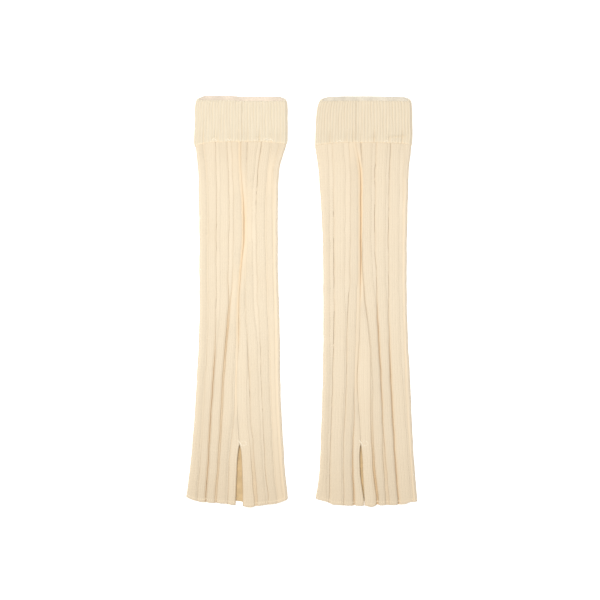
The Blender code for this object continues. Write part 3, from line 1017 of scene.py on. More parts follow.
class Wiring:
    """Adds nodes to a node tree and links them."""

    def __init__(self, tree: bpy.types.NodeTree) -> None:
        """Starts on one tree."""
        self.tree = tree

    def node(self, kind: str, **settings: Any) -> bpy.types.Node:
        """Adds a node.

        Args:
            kind: Its type.
            settings: Its properties.

        Returns:
            The node.
        """
        node = self.tree.nodes.new(kind)
        for key, value in settings.items():
            setattr(node, key, value)
        return node

    def put(self, source: Any, target: bpy.types.NodeSocket) -> None:
        """Links a socket to another, or sets the other one's value.

        Args:
            source: A socket or a value.
            target: The socket that takes it.
        """
        if isinstance(source, bpy.types.NodeSocket):
            self.tree.links.new(source, target)
        else:
            target.default_value = source

    def math(self, operation: str, *values: Any) -> bpy.types.NodeSocket:
        """Result of a sum, on shader and geometry trees alike.

        Args:
            operation: The kind of sum.
            values: Sockets or numbers.

        Returns:
            The result.
        """
        node = self.node("ShaderNodeMath", operation=operation)
        for value, socket in zip(values, node.inputs):
            self.put(value, socket)
        return node.outputs[0]

    def scaled(self, value: Any, low: float, high: float, to_low: float,
               to_high: float) -> bpy.types.NodeSocket:
        """A value taken from one span to another and held inside it.

        Args:
            value: The value.
            low: Start of its span.
            high: End of its span.
            to_low: Start of the new span.
            to_high: End of the new span.

        Returns:
            The new value.
        """
        node = self.node("ShaderNodeMapRange", clamp=True)
        for key, number in zip(("Value", "From Min", "From Max", "To Min", "To Max"),
                               (value, low, high, to_low, to_high)):
            self.put(number, node.inputs[key])
        return node.outputs["Result"]

    def mixed(self, share: Any, first: Any, second: Any) -> bpy.types.NodeSocket:
        """Mix of two colours.

        Args:
            share: How much of the second one it has.
            first: The first colour.
            second: The second colour.

        Returns:
            The mix.
        """
        node = self.node("ShaderNodeMix", data_type="RGBA", blend_type="MIX")
        sockets = {s.identifier: s for s in node.inputs}
        for value, key in zip((share, first, second), ("Factor_Float", "A_Color", "B_Color")):
            self.put((*value, 1.0) if isinstance(value, tuple) else value, sockets[key])
        return next(s for s in node.outputs if s.identifier == "Result_Color")

    def darker(self, colour: Any, share: float) -> bpy.types.NodeSocket:
        """A colour with each of its parts taken down.

        Args:
            colour: The colour.
            share: The share that is left of each part.

        Returns:
            The darker colour.
        """
        node = self.node("ShaderNodeVectorMath", operation="SCALE")
        self.put(colour, node.inputs[0])
        node.inputs["Scale"].default_value = share
        return node.outputs[0]

    def raised(self, height: Any, strength: float, distance: float,
               normal: Any = None) -> bpy.types.NodeSocket:
        """Normal of a surface that a height raises.

        Args:
            height: The height, from 0 to 1.
            strength: How much of it shows.
            distance: How far 1 stands up, in millimetres.
            normal: The normal of the coarser relief under it, if there is one.

        Returns:
            The normal.
        """
        node = self.node("ShaderNodeBump")
        node.inputs["Strength"].default_value = strength
        node.inputs["Distance"].default_value = distance * MM
        self.put(height, node.inputs["Height"])
        if normal is not None:
            self.put(normal, node.inputs["Normal"])
        return node.outputs["Normal"]

    def end(self, geometry: Any, given: bpy.types.Node, out: bpy.types.Node, smooth: bool) -> None:
        """Ends a geometry tree: its instances are made real and get their material.

        Args:
            geometry: What the tree has made.
            given: The tree's input node.
            out: The tree's output node.
            smooth: Whether the faces are shaded smooth.
        """
        real = self.node("GeometryNodeRealizeInstances")
        self.put(geometry, real.inputs[0])
        if smooth:
            smoothed = self.node("GeometryNodeSetShadeSmooth")
            self.put(real.outputs[0], smoothed.inputs["Geometry"])
            real = smoothed
        dressed = self.node("GeometryNodeSetMaterial")
        self.put(real.outputs[0], dressed.inputs["Geometry"])
        self.put(given.outputs["Material"], dressed.inputs["Material"])
        self.put(dressed.outputs[0], out.inputs[0])

    def noise(self, place: Any, scale: float, detail: float, rough: float = 0.55) -> bpy.types.NodeSocket:
        """Cloudy value round 0.5.

        Args:
            place: Where it is read.
            scale: How fine it is.
            detail: How many finer layers it has.
            rough: How strong those are.

        Returns:
            The value.
        """
        node = self.node("ShaderNodeTexNoise")
        self.put(place, node.inputs["Vector"])
        for key, value in (("Scale", scale), ("Detail", detail), ("Roughness", rough)):
            node.inputs[key].default_value = value
        return node.outputs[0]


def new_finish(name: str, **settings: float | tuple) -> tuple[bpy.types.Material, Wiring, bpy.types.Node]:
    """Starts a material.

    Args:
        name: Its name.
        settings: Values of the shader's own sockets, by name, with _ for each space.

    Returns:
        The material, the wiring of its nodes and its shader.
    """
    material = bpy.data.materials.new(name)
    material.use_nodes = True
    shader = material.node_tree.nodes["Principled BSDF"]
    for key, value in settings.items():
        shader.inputs[key.replace("_", " ")].default_value = value
    return material, Wiring(material.node_tree), shader


def new_tree(name: str, kind: str, inputs: list[tuple], outputs: list[tuple]) -> tuple[Wiring, Any, Any]:
    """Starts a node group.

    Args:
        name: Its name.
        kind: ShaderNodeTree or GeometryNodeTree.
        inputs: Name, socket kind and value of each input.
        outputs: Name and socket kind of each output.

    Returns:
        The wiring, the input node and the output node.
    """
    tree = bpy.data.node_groups.new(name, kind)
    for label, socket, *value in inputs:
        made = tree.interface.new_socket(name=label, in_out="INPUT", socket_type=socket)
        if value and value[0] is not None:
            made.default_value = value[0]
    for label, socket in outputs:
        tree.interface.new_socket(name=label, in_out="OUTPUT", socket_type=socket)
    wiring = Wiring(tree)
    return wiring, wiring.node("NodeGroupInput"), wiring.node("NodeGroupOutput")


class YarnGroups:
    """Shader node groups that every knitted finish shares, each built once."""

    def __init__(self) -> None:
        """Builds the groups."""
        self.stitches = self.build_stitches()
        self.fibre = self.build_fibre()
        self.tone = self.build_tone()

    @staticmethod
    def build_stitches() -> bpy.types.NodeTree:
        """Relief of knitted stitches: leaning leaves in pairs on ribs, crossing bars in furrows, and painted
        shade between them.

        Returns:
            The group.
        """
        w, given, out = new_tree(
            "Knitted stitches", "ShaderNodeTree",
            [("Place", "NodeSocketVector", None), ("Knit", "NodeSocketFloat", 1.0),
             ("Lean", "NodeSocketFloat", 0.55)],
            [("Height", "NodeSocketFloat"), ("Crevice", "NodeSocketFloat")])
        split = w.node("ShaderNodeSeparateXYZ")
        w.put(given.outputs["Place"], split.inputs[0])
        wale, course = split.outputs[0], split.outputs[1]
        across = w.math("FRACT", wale)
        from_middle = w.math("MULTIPLY", w.math("ABSOLUTE", w.math("SUBTRACT", across, 0.5)), 2.0)
        slanted = w.math("SUBTRACT", course, w.math("MULTIPLY", from_middle, given.outputs["Lean"]))
        leaf = w.math("ABSOLUTE", w.math("SINE", w.math("MULTIPLY", slanted, math.pi)))
        leaf = w.math("POWER", leaf, 0.7)
        side = w.math("ABSOLUTE", w.math("SINE", w.math("MULTIPLY", across, 2 * math.pi)))
        side = w.math("POWER", side, 0.55)
        plain = w.math("MULTIPLY", leaf, side)
        arc = w.math("MULTIPLY", w.math("COSINE", w.math("MULTIPLY", wale, 2 * math.pi)), 0.3)
        bar = w.math("ABSOLUTE", w.math("SINE", w.math("MULTIPLY", w.math("ADD", course, arc), math.pi)))
        bar = w.math("POWER", bar, 0.8)
        gap = w.math("MULTIPLY", plain, given.outputs["Knit"])
        rest = w.math("MULTIPLY", bar, w.math("SUBTRACT", 1.0, given.outputs["Knit"]))
        height = w.math("ADD", gap, rest)
        w.put(height, out.inputs["Height"])
        # This output is painted shade between the stitches, 1 where their relief is lowest.
        w.put(w.scaled(height, 0.0, 0.55, 1.0, 0.0), out.inputs["Crevice"])
        return w.tree

    @staticmethod
    def build_fibre() -> bpy.types.NodeTree:
        """Fine hairs of the yarn: a rough height and a speckled tone.

        Returns:
            The group.
        """
        w, given, out = new_tree(
            "Yarn fibre", "ShaderNodeTree",
            [("Place", "NodeSocketVector", None), ("Fineness", "NodeSocketFloat", 1800.0)],
            [("Height", "NodeSocketFloat"), ("Tone", "NodeSocketFloat")])
        fine = w.node("ShaderNodeTexNoise")
        w.put(given.outputs["Place"], fine.inputs["Vector"])
        w.put(given.outputs["Fineness"], fine.inputs["Scale"])
        fine.inputs["Detail"].default_value = 4.0
        fine.inputs["Roughness"].default_value = 0.65
        w.put(fine.outputs[0], out.inputs["Height"])
        w.put(w.scaled(fine.outputs[0], 0.3, 0.7, 0.0, 1.0), out.inputs["Tone"])
        return w.tree

    @staticmethod
    def build_tone() -> bpy.types.NodeTree:
        """Colour of the yarn: crests; painted shade in furrows, crevices and smooth stretches, towards the
        hem and under the cuff; the inner face, painted shade in a leg and painted light on a cuff's far rim;
        broad unevenness and the fibre's speckle.

        Returns:
            The group.
        """
        w, given, out = new_tree(
            "Yarn colour and painted shade", "ShaderNodeTree",
            [("Place", "NodeSocketVector", None), ("Crest", "NodeSocketColor", None),
             ("Hollow", "NodeSocketColor", None), ("Inside", "NodeSocketColor", None),
             ("Low", "NodeSocketColor", None), ("Tone", "NodeSocketFloat", 0.0),
             ("Furrow", "NodeSocketFloat", 0.0), ("Inner", "NodeSocketFloat", 0.0),
             ("Crevice", "NodeSocketFloat", 0.0), ("Smooth", "NodeSocketFloat", 0.0),
             ("Speckle", "NodeSocketFloat", 0.5)],
            [("Color", "NodeSocketColor")])
        broad = w.scaled(w.noise(given.outputs["Place"], 22.0, 3.0), 0.3, 0.7, 0.0, 1.0)
        # Painted shade: furrow floors, stitch crevices and smooth stretches without stitch relief are darker;
        # the broad noise and the speckle are the yarn's own uneven tone.
        shade = w.math("ADD", w.math("MULTIPLY", given.outputs["Furrow"], 0.8),
                       w.math("MULTIPLY", given.outputs["Crevice"], 0.2))
        shade = w.math("ADD", shade, w.math("MULTIPLY", given.outputs["Smooth"], 0.17))
        shade = w.math("ADD", shade, w.math("MULTIPLY", broad, 0.06))
        speckle = w.math("SUBTRACT", given.outputs["Speckle"], 0.5)
        shade = w.math("ADD", shade, w.math("MULTIPLY", speckle, 0.08))
        # Painted shade towards the hem and under the cuff: the crest colour goes towards the low colour.
        crest = w.mixed(given.outputs["Tone"], given.outputs["Crest"], given.outputs["Low"])
        cloth = w.mixed(w.scaled(shade, 0.0, 1.0, 0.0, 1.0), crest, given.outputs["Hollow"])
        # The inner face, with darker patches: painted shade inside a leg, painted light on a cuff's far rim.
        patch = w.scaled(w.noise(given.outputs["Place"], 90.0, 2.0), 0.38, 0.62, 0.0, 1.0)
        inner = w.mixed(patch, w.darker(given.outputs["Inside"], 0.88), given.outputs["Inside"])
        w.put(w.mixed(given.outputs["Inner"], cloth, inner), out.inputs["Color"])
        return w.tree


@dataclass(frozen=True)
class KnitFinish:
    """A matt, slightly hairy knitted yarn."""

    name: str
    crest: Colour
    # crest is the yarn's colour; low, hollow and inside are painted shade towards the hem and under the cuff,
    # at furrow floors and on the inner face; a cuff's inside is painted light on its far rim.
    low: Colour
    hollow: Colour
    inside: Colour
    lean: float
    stitch_relief: float

    def material(self, groups: YarnGroups) -> bpy.types.Material:
        """Builds the material.

        Args:
            groups: The shared shader node groups.

        Returns:
            The material, which reads the cloth's stitch map and masks.
        """
        material, w, shader = new_finish(self.name, Metallic=0.0, Sheen_Weight=0.18, Sheen_Roughness=0.55,
                                         Specular_IOR_Level=0.18)
        place = w.node("ShaderNodeTexCoord").outputs["Object"]
        stitch_map = w.node("ShaderNodeUVMap", uv_map="Stitches").outputs[0]
        masks = {}
        for key in ("knit", "furrow", "tone", "inside", "relief"):
            masks[key] = w.node("ShaderNodeAttribute", attribute_name=key).outputs["Fac"]
        stitches = w.node("ShaderNodeGroup", node_tree=groups.stitches)
        w.put(stitch_map, stitches.inputs["Place"])
        w.put(masks["knit"], stitches.inputs["Knit"])
        w.put(self.lean, stitches.inputs["Lean"])
        fibre = w.node("ShaderNodeGroup", node_tree=groups.fibre)
        w.put(place, fibre.inputs["Place"])
        tone = w.node("ShaderNodeGroup", node_tree=groups.tone)
        for key, value in (
            ("Place", place), ("Crest", (*self.crest, 1.0)), ("Hollow", (*self.hollow, 1.0)),
            ("Inside", (*self.inside, 1.0)), ("Low", (*self.low, 1.0)), ("Tone", masks["tone"]),
            ("Furrow", masks["furrow"]), ("Inner", masks["inside"]),
            # Stitch crevices and smooth stretches feed painted shade.
            ("Crevice", w.math("MULTIPLY", stitches.outputs["Crevice"], masks["relief"])),
            ("Smooth", w.math("SUBTRACT", 1.0, masks["relief"])), ("Speckle", fibre.outputs["Tone"]),
        ):
            w.put(value, tone.inputs[key])
        w.put(tone.outputs["Color"], shader.inputs["Base Color"])
        w.put(w.scaled(fibre.outputs["Tone"], 0.0, 1.0, 0.86, 0.98), shader.inputs["Roughness"])
        height = w.math("MULTIPLY", stitches.outputs["Height"], masks["relief"])
        relief = w.raised(height, 0.8, self.stitch_relief)
        w.put(w.raised(fibre.outputs["Height"], 0.5, 0.12, relief), shader.inputs["Normal"])
        return material


@dataclass(frozen=True)
class ThreadFinish:
    """Plain twisted yarn of sewn and cast-off stitches."""

    name: str
    colour: Colour
    shade: Colour

    def material(self, groups: YarnGroups) -> bpy.types.Material:
        """Builds the material.

        Args:
            groups: The shared shader node groups.

        Returns:
            The material, which reads Object coordinates.
        """
        material, w, shader = new_finish(self.name, Metallic=0.0, Sheen_Weight=0.15, Specular_IOR_Level=0.2)
        fibre = w.node("ShaderNodeGroup", node_tree=groups.fibre)
        w.put(w.node("ShaderNodeTexCoord").outputs["Object"], fibre.inputs["Place"])
        w.put(2600.0, fibre.inputs["Fineness"])
        w.put(w.mixed(fibre.outputs["Tone"], self.shade, self.colour), shader.inputs["Base Color"])
        w.put(w.scaled(fibre.outputs["Tone"], 0.0, 1.0, 0.85, 0.97), shader.inputs["Roughness"])
        w.put(w.raised(fibre.outputs["Height"], 0.5, 0.1), shader.inputs["Normal"])
        return material


class ReliefTree:
    """Geometry Nodes that raise each wale of a knitted wall and make the cloth slightly uneven."""

    def __init__(self) -> None:
        """Builds the tree."""
        w, given, out = new_tree(
            "Wale relief", "GeometryNodeTree",
            [("Geometry", "NodeSocketGeometry"), ("Wale Height", "NodeSocketFloat", 0.0003),
             ("Wale Roundness", "NodeSocketFloat", 0.7), ("Unevenness", "NodeSocketFloat", 0.0002),
             ("Seed", "NodeSocketFloat", 3.0), ("Material", "NodeSocketMaterial")],
            [("Geometry", "NodeSocketGeometry")])
        masks = {}
        for key in ("wale", "relief", "under", "knit", "inside"):
            node = w.node("GeometryNodeInputNamedAttribute", data_type="FLOAT")
            node.inputs["Name"].default_value = key
            masks[key] = node.outputs["Attribute"]
        ridge = w.math("ABSOLUTE", w.math("SINE", w.math("MULTIPLY", masks["wale"], math.pi)))
        ridge = w.math("POWER", ridge, given.outputs["Wale Roundness"])
        ridge = w.math("SUBTRACT", ridge, masks["under"])
        ridge = w.math("MULTIPLY", w.math("MULTIPLY", ridge, masks["knit"]), given.outputs["Wale Height"])
        noise = w.node("ShaderNodeTexNoise", noise_dimensions="4D")
        w.put(w.node("GeometryNodeInputPosition").outputs[0], noise.inputs["Vector"])
        w.put(given.outputs["Seed"], noise.inputs["W"])
        noise.inputs["Scale"].default_value = 70.0
        noise.inputs["Detail"].default_value = 2.0
        uneven = w.math("MULTIPLY", w.math("SUBTRACT", noise.outputs[0], 0.5), given.outputs["Unevenness"])
        uneven = w.math("MULTIPLY", uneven, w.math("SUBTRACT", 1.0, masks["under"]))
        lift = w.math("MULTIPLY", w.math("ADD", ridge, uneven), masks["relief"])
        lift = w.math("MULTIPLY", lift, w.math("SUBTRACT", 1.0, masks["inside"]))
        offset = w.node("ShaderNodeVectorMath", operation="SCALE")
        w.put(w.node("GeometryNodeInputNormal").outputs[0], offset.inputs[0])
        w.put(lift, offset.inputs["Scale"])
        move = w.node("GeometryNodeSetPosition")
        w.put(given.outputs["Geometry"], move.inputs["Geometry"])
        w.put(offset.outputs[0], move.inputs["Offset"])
        w.end(move.outputs[0], given, out, smooth=False)
        self.tree = w.tree


class StitchTree:
    """Geometry Nodes that lay yarn stitches at equal steps along a path."""

    def __init__(self, kind: StitchKind) -> None:
        """Builds the tree for one kind of stitch.

        Args:
            kind: How the yarn lies along the path.
        """
        w, given, out = new_tree(
            f"Stitch row {kind.value}", "GeometryNodeTree",
            [("Geometry", "NodeSocketGeometry"), ("Spacing", "NodeSocketFloat", 0.0022),
             ("Reach", "NodeSocketFloat", 0.0011), ("Yarn", "NodeSocketFloat", 0.0004),
             ("Lean", "NodeSocketFloat", 0.5), ("Wander", "NodeSocketFloat", 0.15),
             ("Seed", "NodeSocketInt", 1), ("Material", "NodeSocketMaterial")],
            [("Geometry", "NodeSocketGeometry")])
        curve = w.node("GeometryNodeMeshToCurve")
        w.put(given.outputs["Geometry"], curve.inputs["Mesh"])
        even = w.node("GeometryNodeResampleCurve", mode="LENGTH")
        w.put(curve.outputs[0], even.inputs["Curve"])
        w.put(given.outputs["Spacing"], even.inputs["Length"])
        leaf = w.node("GeometryNodeMeshUVSphere")
        for key, value in (("Segments", 8), ("Rings", 6), ("Radius", 1.0)):
            leaf.inputs[key].default_value = value
        size = w.node("ShaderNodeCombineXYZ")
        w.put(given.outputs["Reach"], size.inputs[0])
        w.put(given.outputs["Yarn"], size.inputs[1])
        w.put(given.outputs["Yarn"], size.inputs[2])
        join = w.node("GeometryNodeJoinGeometry")
        turns = {StitchKind.CHAIN: (1.0, -1.0), StitchKind.LOOP: (1.0,), StitchKind.BAR: (0.0,)}[kind]
        for turn in turns:
            angle = w.node("ShaderNodeCombineXYZ")
            base = math.pi / 2 if kind is StitchKind.BAR else 0.0
            w.put(w.math("ADD", w.math("MULTIPLY", given.outputs["Lean"], turn), base), angle.inputs[2])
            shift = w.node("ShaderNodeCombineXYZ")
            w.put(w.math("MULTIPLY", given.outputs["Yarn"], 0.95 * turn * (kind is StitchKind.CHAIN)),
                  shift.inputs[1])
            place = w.node("GeometryNodeTransform")
            w.put(leaf.outputs["Mesh"], place.inputs["Geometry"])
            w.put(shift.outputs[0], place.inputs["Translation"])
            w.put(angle.outputs[0], place.inputs["Rotation"])
            w.put(size.outputs[0], place.inputs["Scale"])
            w.put(place.outputs[0], join.inputs[0])
        aim = w.node("FunctionNodeAlignRotationToVector", axis="X", pivot_axis="Z")
        w.put(w.node("GeometryNodeInputTangent").outputs[0], aim.inputs["Vector"])
        stray = w.node("FunctionNodeRandomValue", data_type="FLOAT")
        sockets = {s.identifier: s for s in stray.inputs}
        w.put(w.math("MULTIPLY", given.outputs["Wander"], -1.0), sockets["Min_001"])
        w.put(given.outputs["Wander"], sockets["Max_001"])
        w.put(given.outputs["Seed"], sockets["Seed"])
        stray_value = next(s for s in stray.outputs if s.identifier == "Value_001")
        stray_turn = w.node("ShaderNodeCombineXYZ")
        w.put(stray_value, stray_turn.inputs[2])
        turned = w.node("FunctionNodeRotateRotation", rotation_space="LOCAL")
        w.put(aim.outputs[0], turned.inputs[0])
        w.put(stray_turn.outputs[0], turned.inputs[1])
        laid = w.node("GeometryNodeInstanceOnPoints")
        w.put(even.outputs[0], laid.inputs["Points"])
        w.put(join.outputs[0], laid.inputs["Instance"])
        w.put(turned.outputs[0], laid.inputs["Rotation"])
        w.put(w.scaled(stray_value, -0.3, 0.3, 0.88, 1.1), laid.inputs["Scale"])
        w.end(laid.outputs[0], given, out, smooth=True)
        self.tree = w.tree


def plain_mesh(name: str, mesh: bpy.types.Mesh, tree: bpy.types.NodeTree,
               values: dict[str, Any]) -> bpy.types.Object:
    """Runs Geometry Nodes on a mesh and keeps the result as a plain mesh at the origin.

    Args:
        name: Name of the piece.
        mesh: The mesh that the nodes start from.
        tree: The nodes.
        values: Value of each named input.

    Returns:
        The piece, without its modifier.
    """
    piece = bpy.data.objects.new(name, mesh)
    bpy.context.scene.collection.objects.link(piece)
    modifier = piece.modifiers.new("Nodes", "NODES")
    modifier.node_group = tree
    identifiers = {s.name: s.identifier for s in tree.interface.items_tree if s.in_out == "INPUT"}
    for key, value in values.items():
        modifier[identifiers[key]] = value
    depsgraph = bpy.context.evaluated_depsgraph_get()
    made = bpy.data.meshes.new_from_object(piece.evaluated_get(depsgraph), preserve_all_data_layers=True,
                                           depsgraph=depsgraph)
    piece.modifiers.remove(modifier)
    piece.data = made
    made.name = name
    bpy.data.meshes.remove(mesh)
    return piece


def even_rows(low: float, high: float, step: float, ends: tuple[Rounding, Rounding]) -> Array:
    """Heights of rows: close together at the two rounded ends and equal in between.

    Args:
        low: The lowest height.
        high: The highest height.
        step: About how far apart the rows in between are.
        ends: The rounding of the lower and of the upper edge.

    Returns:
        The heights.
    """
    near, far = ends[0].reach, ends[1].reach
    close = np.array([0.0, 0.06, 0.2, 0.45, 0.75])
    start = low + near * close
    finish = high - far * close[::-1]
    count = int(round((high - far - low - near) / step))
    return np.concatenate([start, np.linspace(low + near, high - far, count + 1), finish])


@dataclass
class LegPiece:
    """The wide-rib leg of one leg warmer.

    Wales are the stitches across a usual rib, across the ribs at the left and at the right of the seam, and
    across those at the left and at the right fold.
    """

    leg: Leg
    row_step: float = 2.0
    course: float = 1.75
    rest_furrow: float = 0.9
    rib_wales: int = 5
    seam_wales: tuple[int, int] = (3, 4)
    fold_wales: tuple[int, int] = (3, 2)
    fold_columns: int = 10
    ends: tuple[Rounding, Rounding] = (Rounding(1.5, 0.42), Rounding(0.8, 0.05))

    def line(self, values: tuple[float, ...], seed: int, stray: float = 0.22) -> Line:
        """One of the leg's lines with its own waver."""
        return Line(STATIONS, values, stray, self.leg.seed * 31 + seed)

    def seam_line(self, side: int) -> LineAt:
        """The edge of the cloth at one side of the seam and of the slit below it.

        Args:
            side: -1 for the left edge, 1 for the right one.

        Returns:
            The edge, by height.
        """
        seam, slit = self.line(self.leg.seam, 1, 0.15), self.line(self.leg.slit, 2, 0.0)

        def edge(height: Array) -> Array:
            """The edge at each height."""
            opening = slit.at(height) * np.sqrt(np.maximum(0.0, 1 - (height / SLIT_TOP) ** 2))
            return seam.at(height) + side * np.maximum(SEAM_GAP, opening) / 2

        return edge

    def furrow_line(self, furrow: Furrow, seed: int, side: int) -> LineAt:
        """One of the two feet of a furrow.

        Args:
            furrow: The furrow.
            seed: Which waver it has.
            side: -1 for its left foot, 1 for its right one.

        Returns:
            The foot, by height.
        """
        middle = self.line(furrow.across, seed)

        def foot(height: Array) -> Array:
            """The foot's place across.

            Args:
                height: Heights along the leg.

            Returns:
                The place at each.
            """
            upper = ramp(height, furrow.narrows - WIDTH_BLEND, furrow.narrows + WIDTH_BLEND)
            width = furrow.lower + (furrow.upper - furrow.lower) * upper + furrow.opens * furrow.level(height)
            width = width * (1 + waver(height, self.leg.seed * 7 + seed, 0.14, 47.0))
            return middle.at(height) + side * width / 2

        return foot

    def rest_line(self, left: Line, right: Line, share: float, seed: int) -> LineAt:
        """A line of the resting side.

        Args:
            left: The leg's left edge.
            right: The leg's right edge.
            share: How far it lies from the left fold to the right one, from 0 to 1.
            seed: Which waver it has.

        Returns:
            The line, by height.
        """
        radius = LEG_LAYERS.top / 2
        stray = 0.0 if share in (0.0, 1.0) else 0.5

        def across(height: Array) -> Array:
            """The line at each height."""
            low, high = left.at(height) + radius, right.at(height) - radius
            return low + (high - low) * share + waver(height, self.leg.seed * 13 + seed, stray, 70.0)

        return across

    def strips(self) -> list[Strip]:
        """The leg's strips.

        Returns:
            The strips, in order from the seam round the tube and back to it.
        """
        leg, radius = self.leg, LEG_LAYERS.top / 2
        left, right = self.line(leg.left, 3), self.line(leg.right, 4)
        seam_depth = Line(DEPTH_HEIGHTS, leg.seam_depths)
        seam_floor: LineAt = lambda height: SEAM_TOP - SEAM_FALL * np.clip(seam_depth.at(height), 0.0, 1.0)
        result: list[Strip] = []
        start, floor, tuck = self.seam_line(-1), seam_floor, 0.0
        for i, furrow in enumerate(leg.furrows_left):
            near, far = self.furrow_line(furrow, 20 + i, 1), self.furrow_line(furrow, 20 + i, -1)
            tucks = self.tucks(furrow)
            result.append(RibStrip(start, near, (floor, furrow.floor(1)), (tuck, tucks[0]),
                                   self.rib_wales if i else self.seam_wales[0], RibShape.WHOLE,
                                   leg.seed + 50 + i, seam=int(i == 0)))
            result.append(FurrowStrip(near, far, furrow))
            start, floor, tuck = far, furrow.floor(-1), tucks[1]
        result.append(RibStrip(start, lambda h: left.at(h) + radius, (floor, floor), (tuck, 0.0),
                               self.fold_wales[0], RibShape.LEFT_EDGE, leg.seed))
        result.append(FoldStrip(left.at, -1, LEG_LAYERS, 0, self.fold_columns))
        for i in range(Tube.REST_RIBS):
            lines = [self.rest_line(left, right, (i + k) / Tube.REST_RIBS, i + k) for k in (0, 1)]
            depths = tuple(0.0 if i + k in (0, Tube.REST_RIBS) else self.rest_furrow for k in (0, 1))
            result.append(RestStrip(*lines, depths))
        result.append(FoldStrip(right.at, 1, LEG_LAYERS, 0, self.fold_columns))
        start, floor, tuck, shape = lambda h: right.at(h) - radius, seam_floor, 0.0, RibShape.RIGHT_EDGE
        for i, furrow in reversed(list(enumerate(leg.furrows_right))):
            near, far = self.furrow_line(furrow, 30 + i, 1), self.furrow_line(furrow, 30 + i, -1)
            tucks = self.tucks(furrow)
            if shape is RibShape.RIGHT_EDGE:
                floor = furrow.floor(1)
            result.append(RibStrip(start, near, (floor, furrow.floor(1)), (tuck, tucks[0]),
                                   self.fold_wales[1] if shape is RibShape.RIGHT_EDGE else self.rib_wales,
                                   shape, leg.seed + 60 + i))
            result.append(FurrowStrip(near, far, furrow))
            start, floor, tuck, shape = far, furrow.floor(-1), tucks[1], RibShape.WHOLE
        result.append(RibStrip(start, self.seam_line(1), (floor, seam_floor), (tuck, 0.0),
                               self.seam_wales[1], RibShape.WHOLE, leg.seed + 70, seam=-1, closed=True))
        return result

    @staticmethod
    def tucks(furrow: Furrow) -> tuple[float, float]:
        """How far the ribs beside a furrow hang over it.

        Args:
            furrow: The furrow.

        Returns:
            How far the rib at its right and the rib at its left hang over.
        """
        room = min(furrow.upper, furrow.lower) * TUCK_SHARE
        strong, weak = (min(tuck, room) for tuck in TUCKS)
        return {1: (strong, weak), 0: (weak, weak), -1: (weak, strong)}[furrow.lean]

    def real_height(self, nominal: Array, flat: Section) -> Array:
        """Height of each corner: rows bend with the hem at the bottom and with the cuff's edge at the top.

        Args:
            nominal: Height of each corner's row.
            flat: The cross-section at each row.

        Returns:
            The heights.
        """
        leg = self.leg
        edge = np.where(flat.x < 0, leg.left[-1], leg.right[-1])
        middle = np.maximum(1 - (flat.x / edge) ** 4, 0.0)
        hem = along(leg.hem, flat.x) + BACK_HEM_RISE * flat.under * middle
        hem = hem + HEM_NOTCH * flat.shade * (1 - flat.under)
        top = along(leg.join, flat.x) - JOIN_GAP - JOIN
        hem, top = hem * (1 - ramp(nominal, 0, HEM_BLEND)), top * ramp(nominal, JOIN - JOIN_BLEND, JOIN)
        return nominal + hem + top

    def tube(self) -> Tube:
        """The leg's wall."""
        rows = even_rows(0.0, JOIN, self.row_step, self.ends)
        return Tube(LEG_LAYERS, self.strips(), rows, self.course, self.real_height, self.ends, tone=leg_painted_shade)


@dataclass
class CuffPiece:
    """The doubled fine-rib cuff of one leg warmer."""

    leg: Leg
    cuff: Cuff
    row_step: float = 0.9
    course: float = 1.75
    ends: tuple[Rounding, Rounding] = (Rounding(1.3, 0.07), Rounding(2.2, 0.44))
    thin_end: float = 0.25
    rest_ribs: int = 28
    fold_ribs: int = 4
    rib_columns: int = 8
    rest_columns: int = 6

    def strips(self) -> list[Strip]:
        """The cuff's strips.

        Returns:
            The strips, in order from the seam round the tube and back to it.
        """
        cuff, radius, seed = self.cuff, CUFF_LAYERS.top / 2, self.leg.seed * 5
        left = Line(cuff.heights, cuff.left, 0.15, seed)
        right = Line(cuff.heights, cuff.right, 0.15, seed + 1)
        seam = Line(cuff.heights, cuff.seam, 0.1, seed + 2)
        gathers = tuple(f.across[0] for f in (*self.leg.furrows_left, *self.leg.furrows_right))
        half_gap, fold_columns = CUFF_SEAM_GAP / 2, self.fold_ribs * self.rib_columns
        return [
            FineRibStrip(lambda h: seam.at(h) - half_gap, lambda h: left.at(h) + radius, cuff.ribs_left,
                         self.rib_columns, False, gathers=gathers, creases=cuff.creases),
            FoldStrip(left.at, -1, CUFF_LAYERS, self.fold_ribs, fold_columns),
            FineRibStrip(lambda h: left.at(h) + radius, lambda h: right.at(h) - radius, self.rest_ribs,
                         self.rest_columns, True),
            FoldStrip(right.at, 1, CUFF_LAYERS, self.fold_ribs, fold_columns),
            FineRibStrip(lambda h: right.at(h) - radius, lambda h: seam.at(h) + half_gap, cuff.ribs_right,
                         self.rib_columns, False, closed=True, gathers=gathers, creases=cuff.creases),
        ]

    def real_height(self, nominal: Array, flat: Section) -> Array:
        """Height of each corner: rows bend with the joined edge at the bottom and with the rim at the top.

        Args:
            nominal: Height of each corner's row.
            flat: The cross-section at each row.

        Returns:
            The heights.
        """
        bottom = (along(self.leg.join, flat.x) - JOIN) * (1 - ramp(nominal, JOIN, JOIN + JOIN_BLEND))
        rim = along(self.cuff.rim, flat.x) - FRONT_RIM_DROP * (1 - flat.under) - LENGTH
        return nominal + bottom + rim * ramp(nominal, LENGTH - RIM_BLEND, LENGTH)

    def tube(self) -> Tube:
        """The cuff's wall."""
        rows = even_rows(JOIN, LENGTH, self.row_step, self.ends)
        return Tube(CUFF_LAYERS, self.strips(), rows, self.course, self.real_height, self.ends, self.thin_end)


@dataclass
class Workshop:
    """Finishes and node trees that both leg warmers share."""

    relief: ReliefTree
    stitches: dict[StitchKind, StitchTree]
    materials: dict[str, bpy.types.Material]


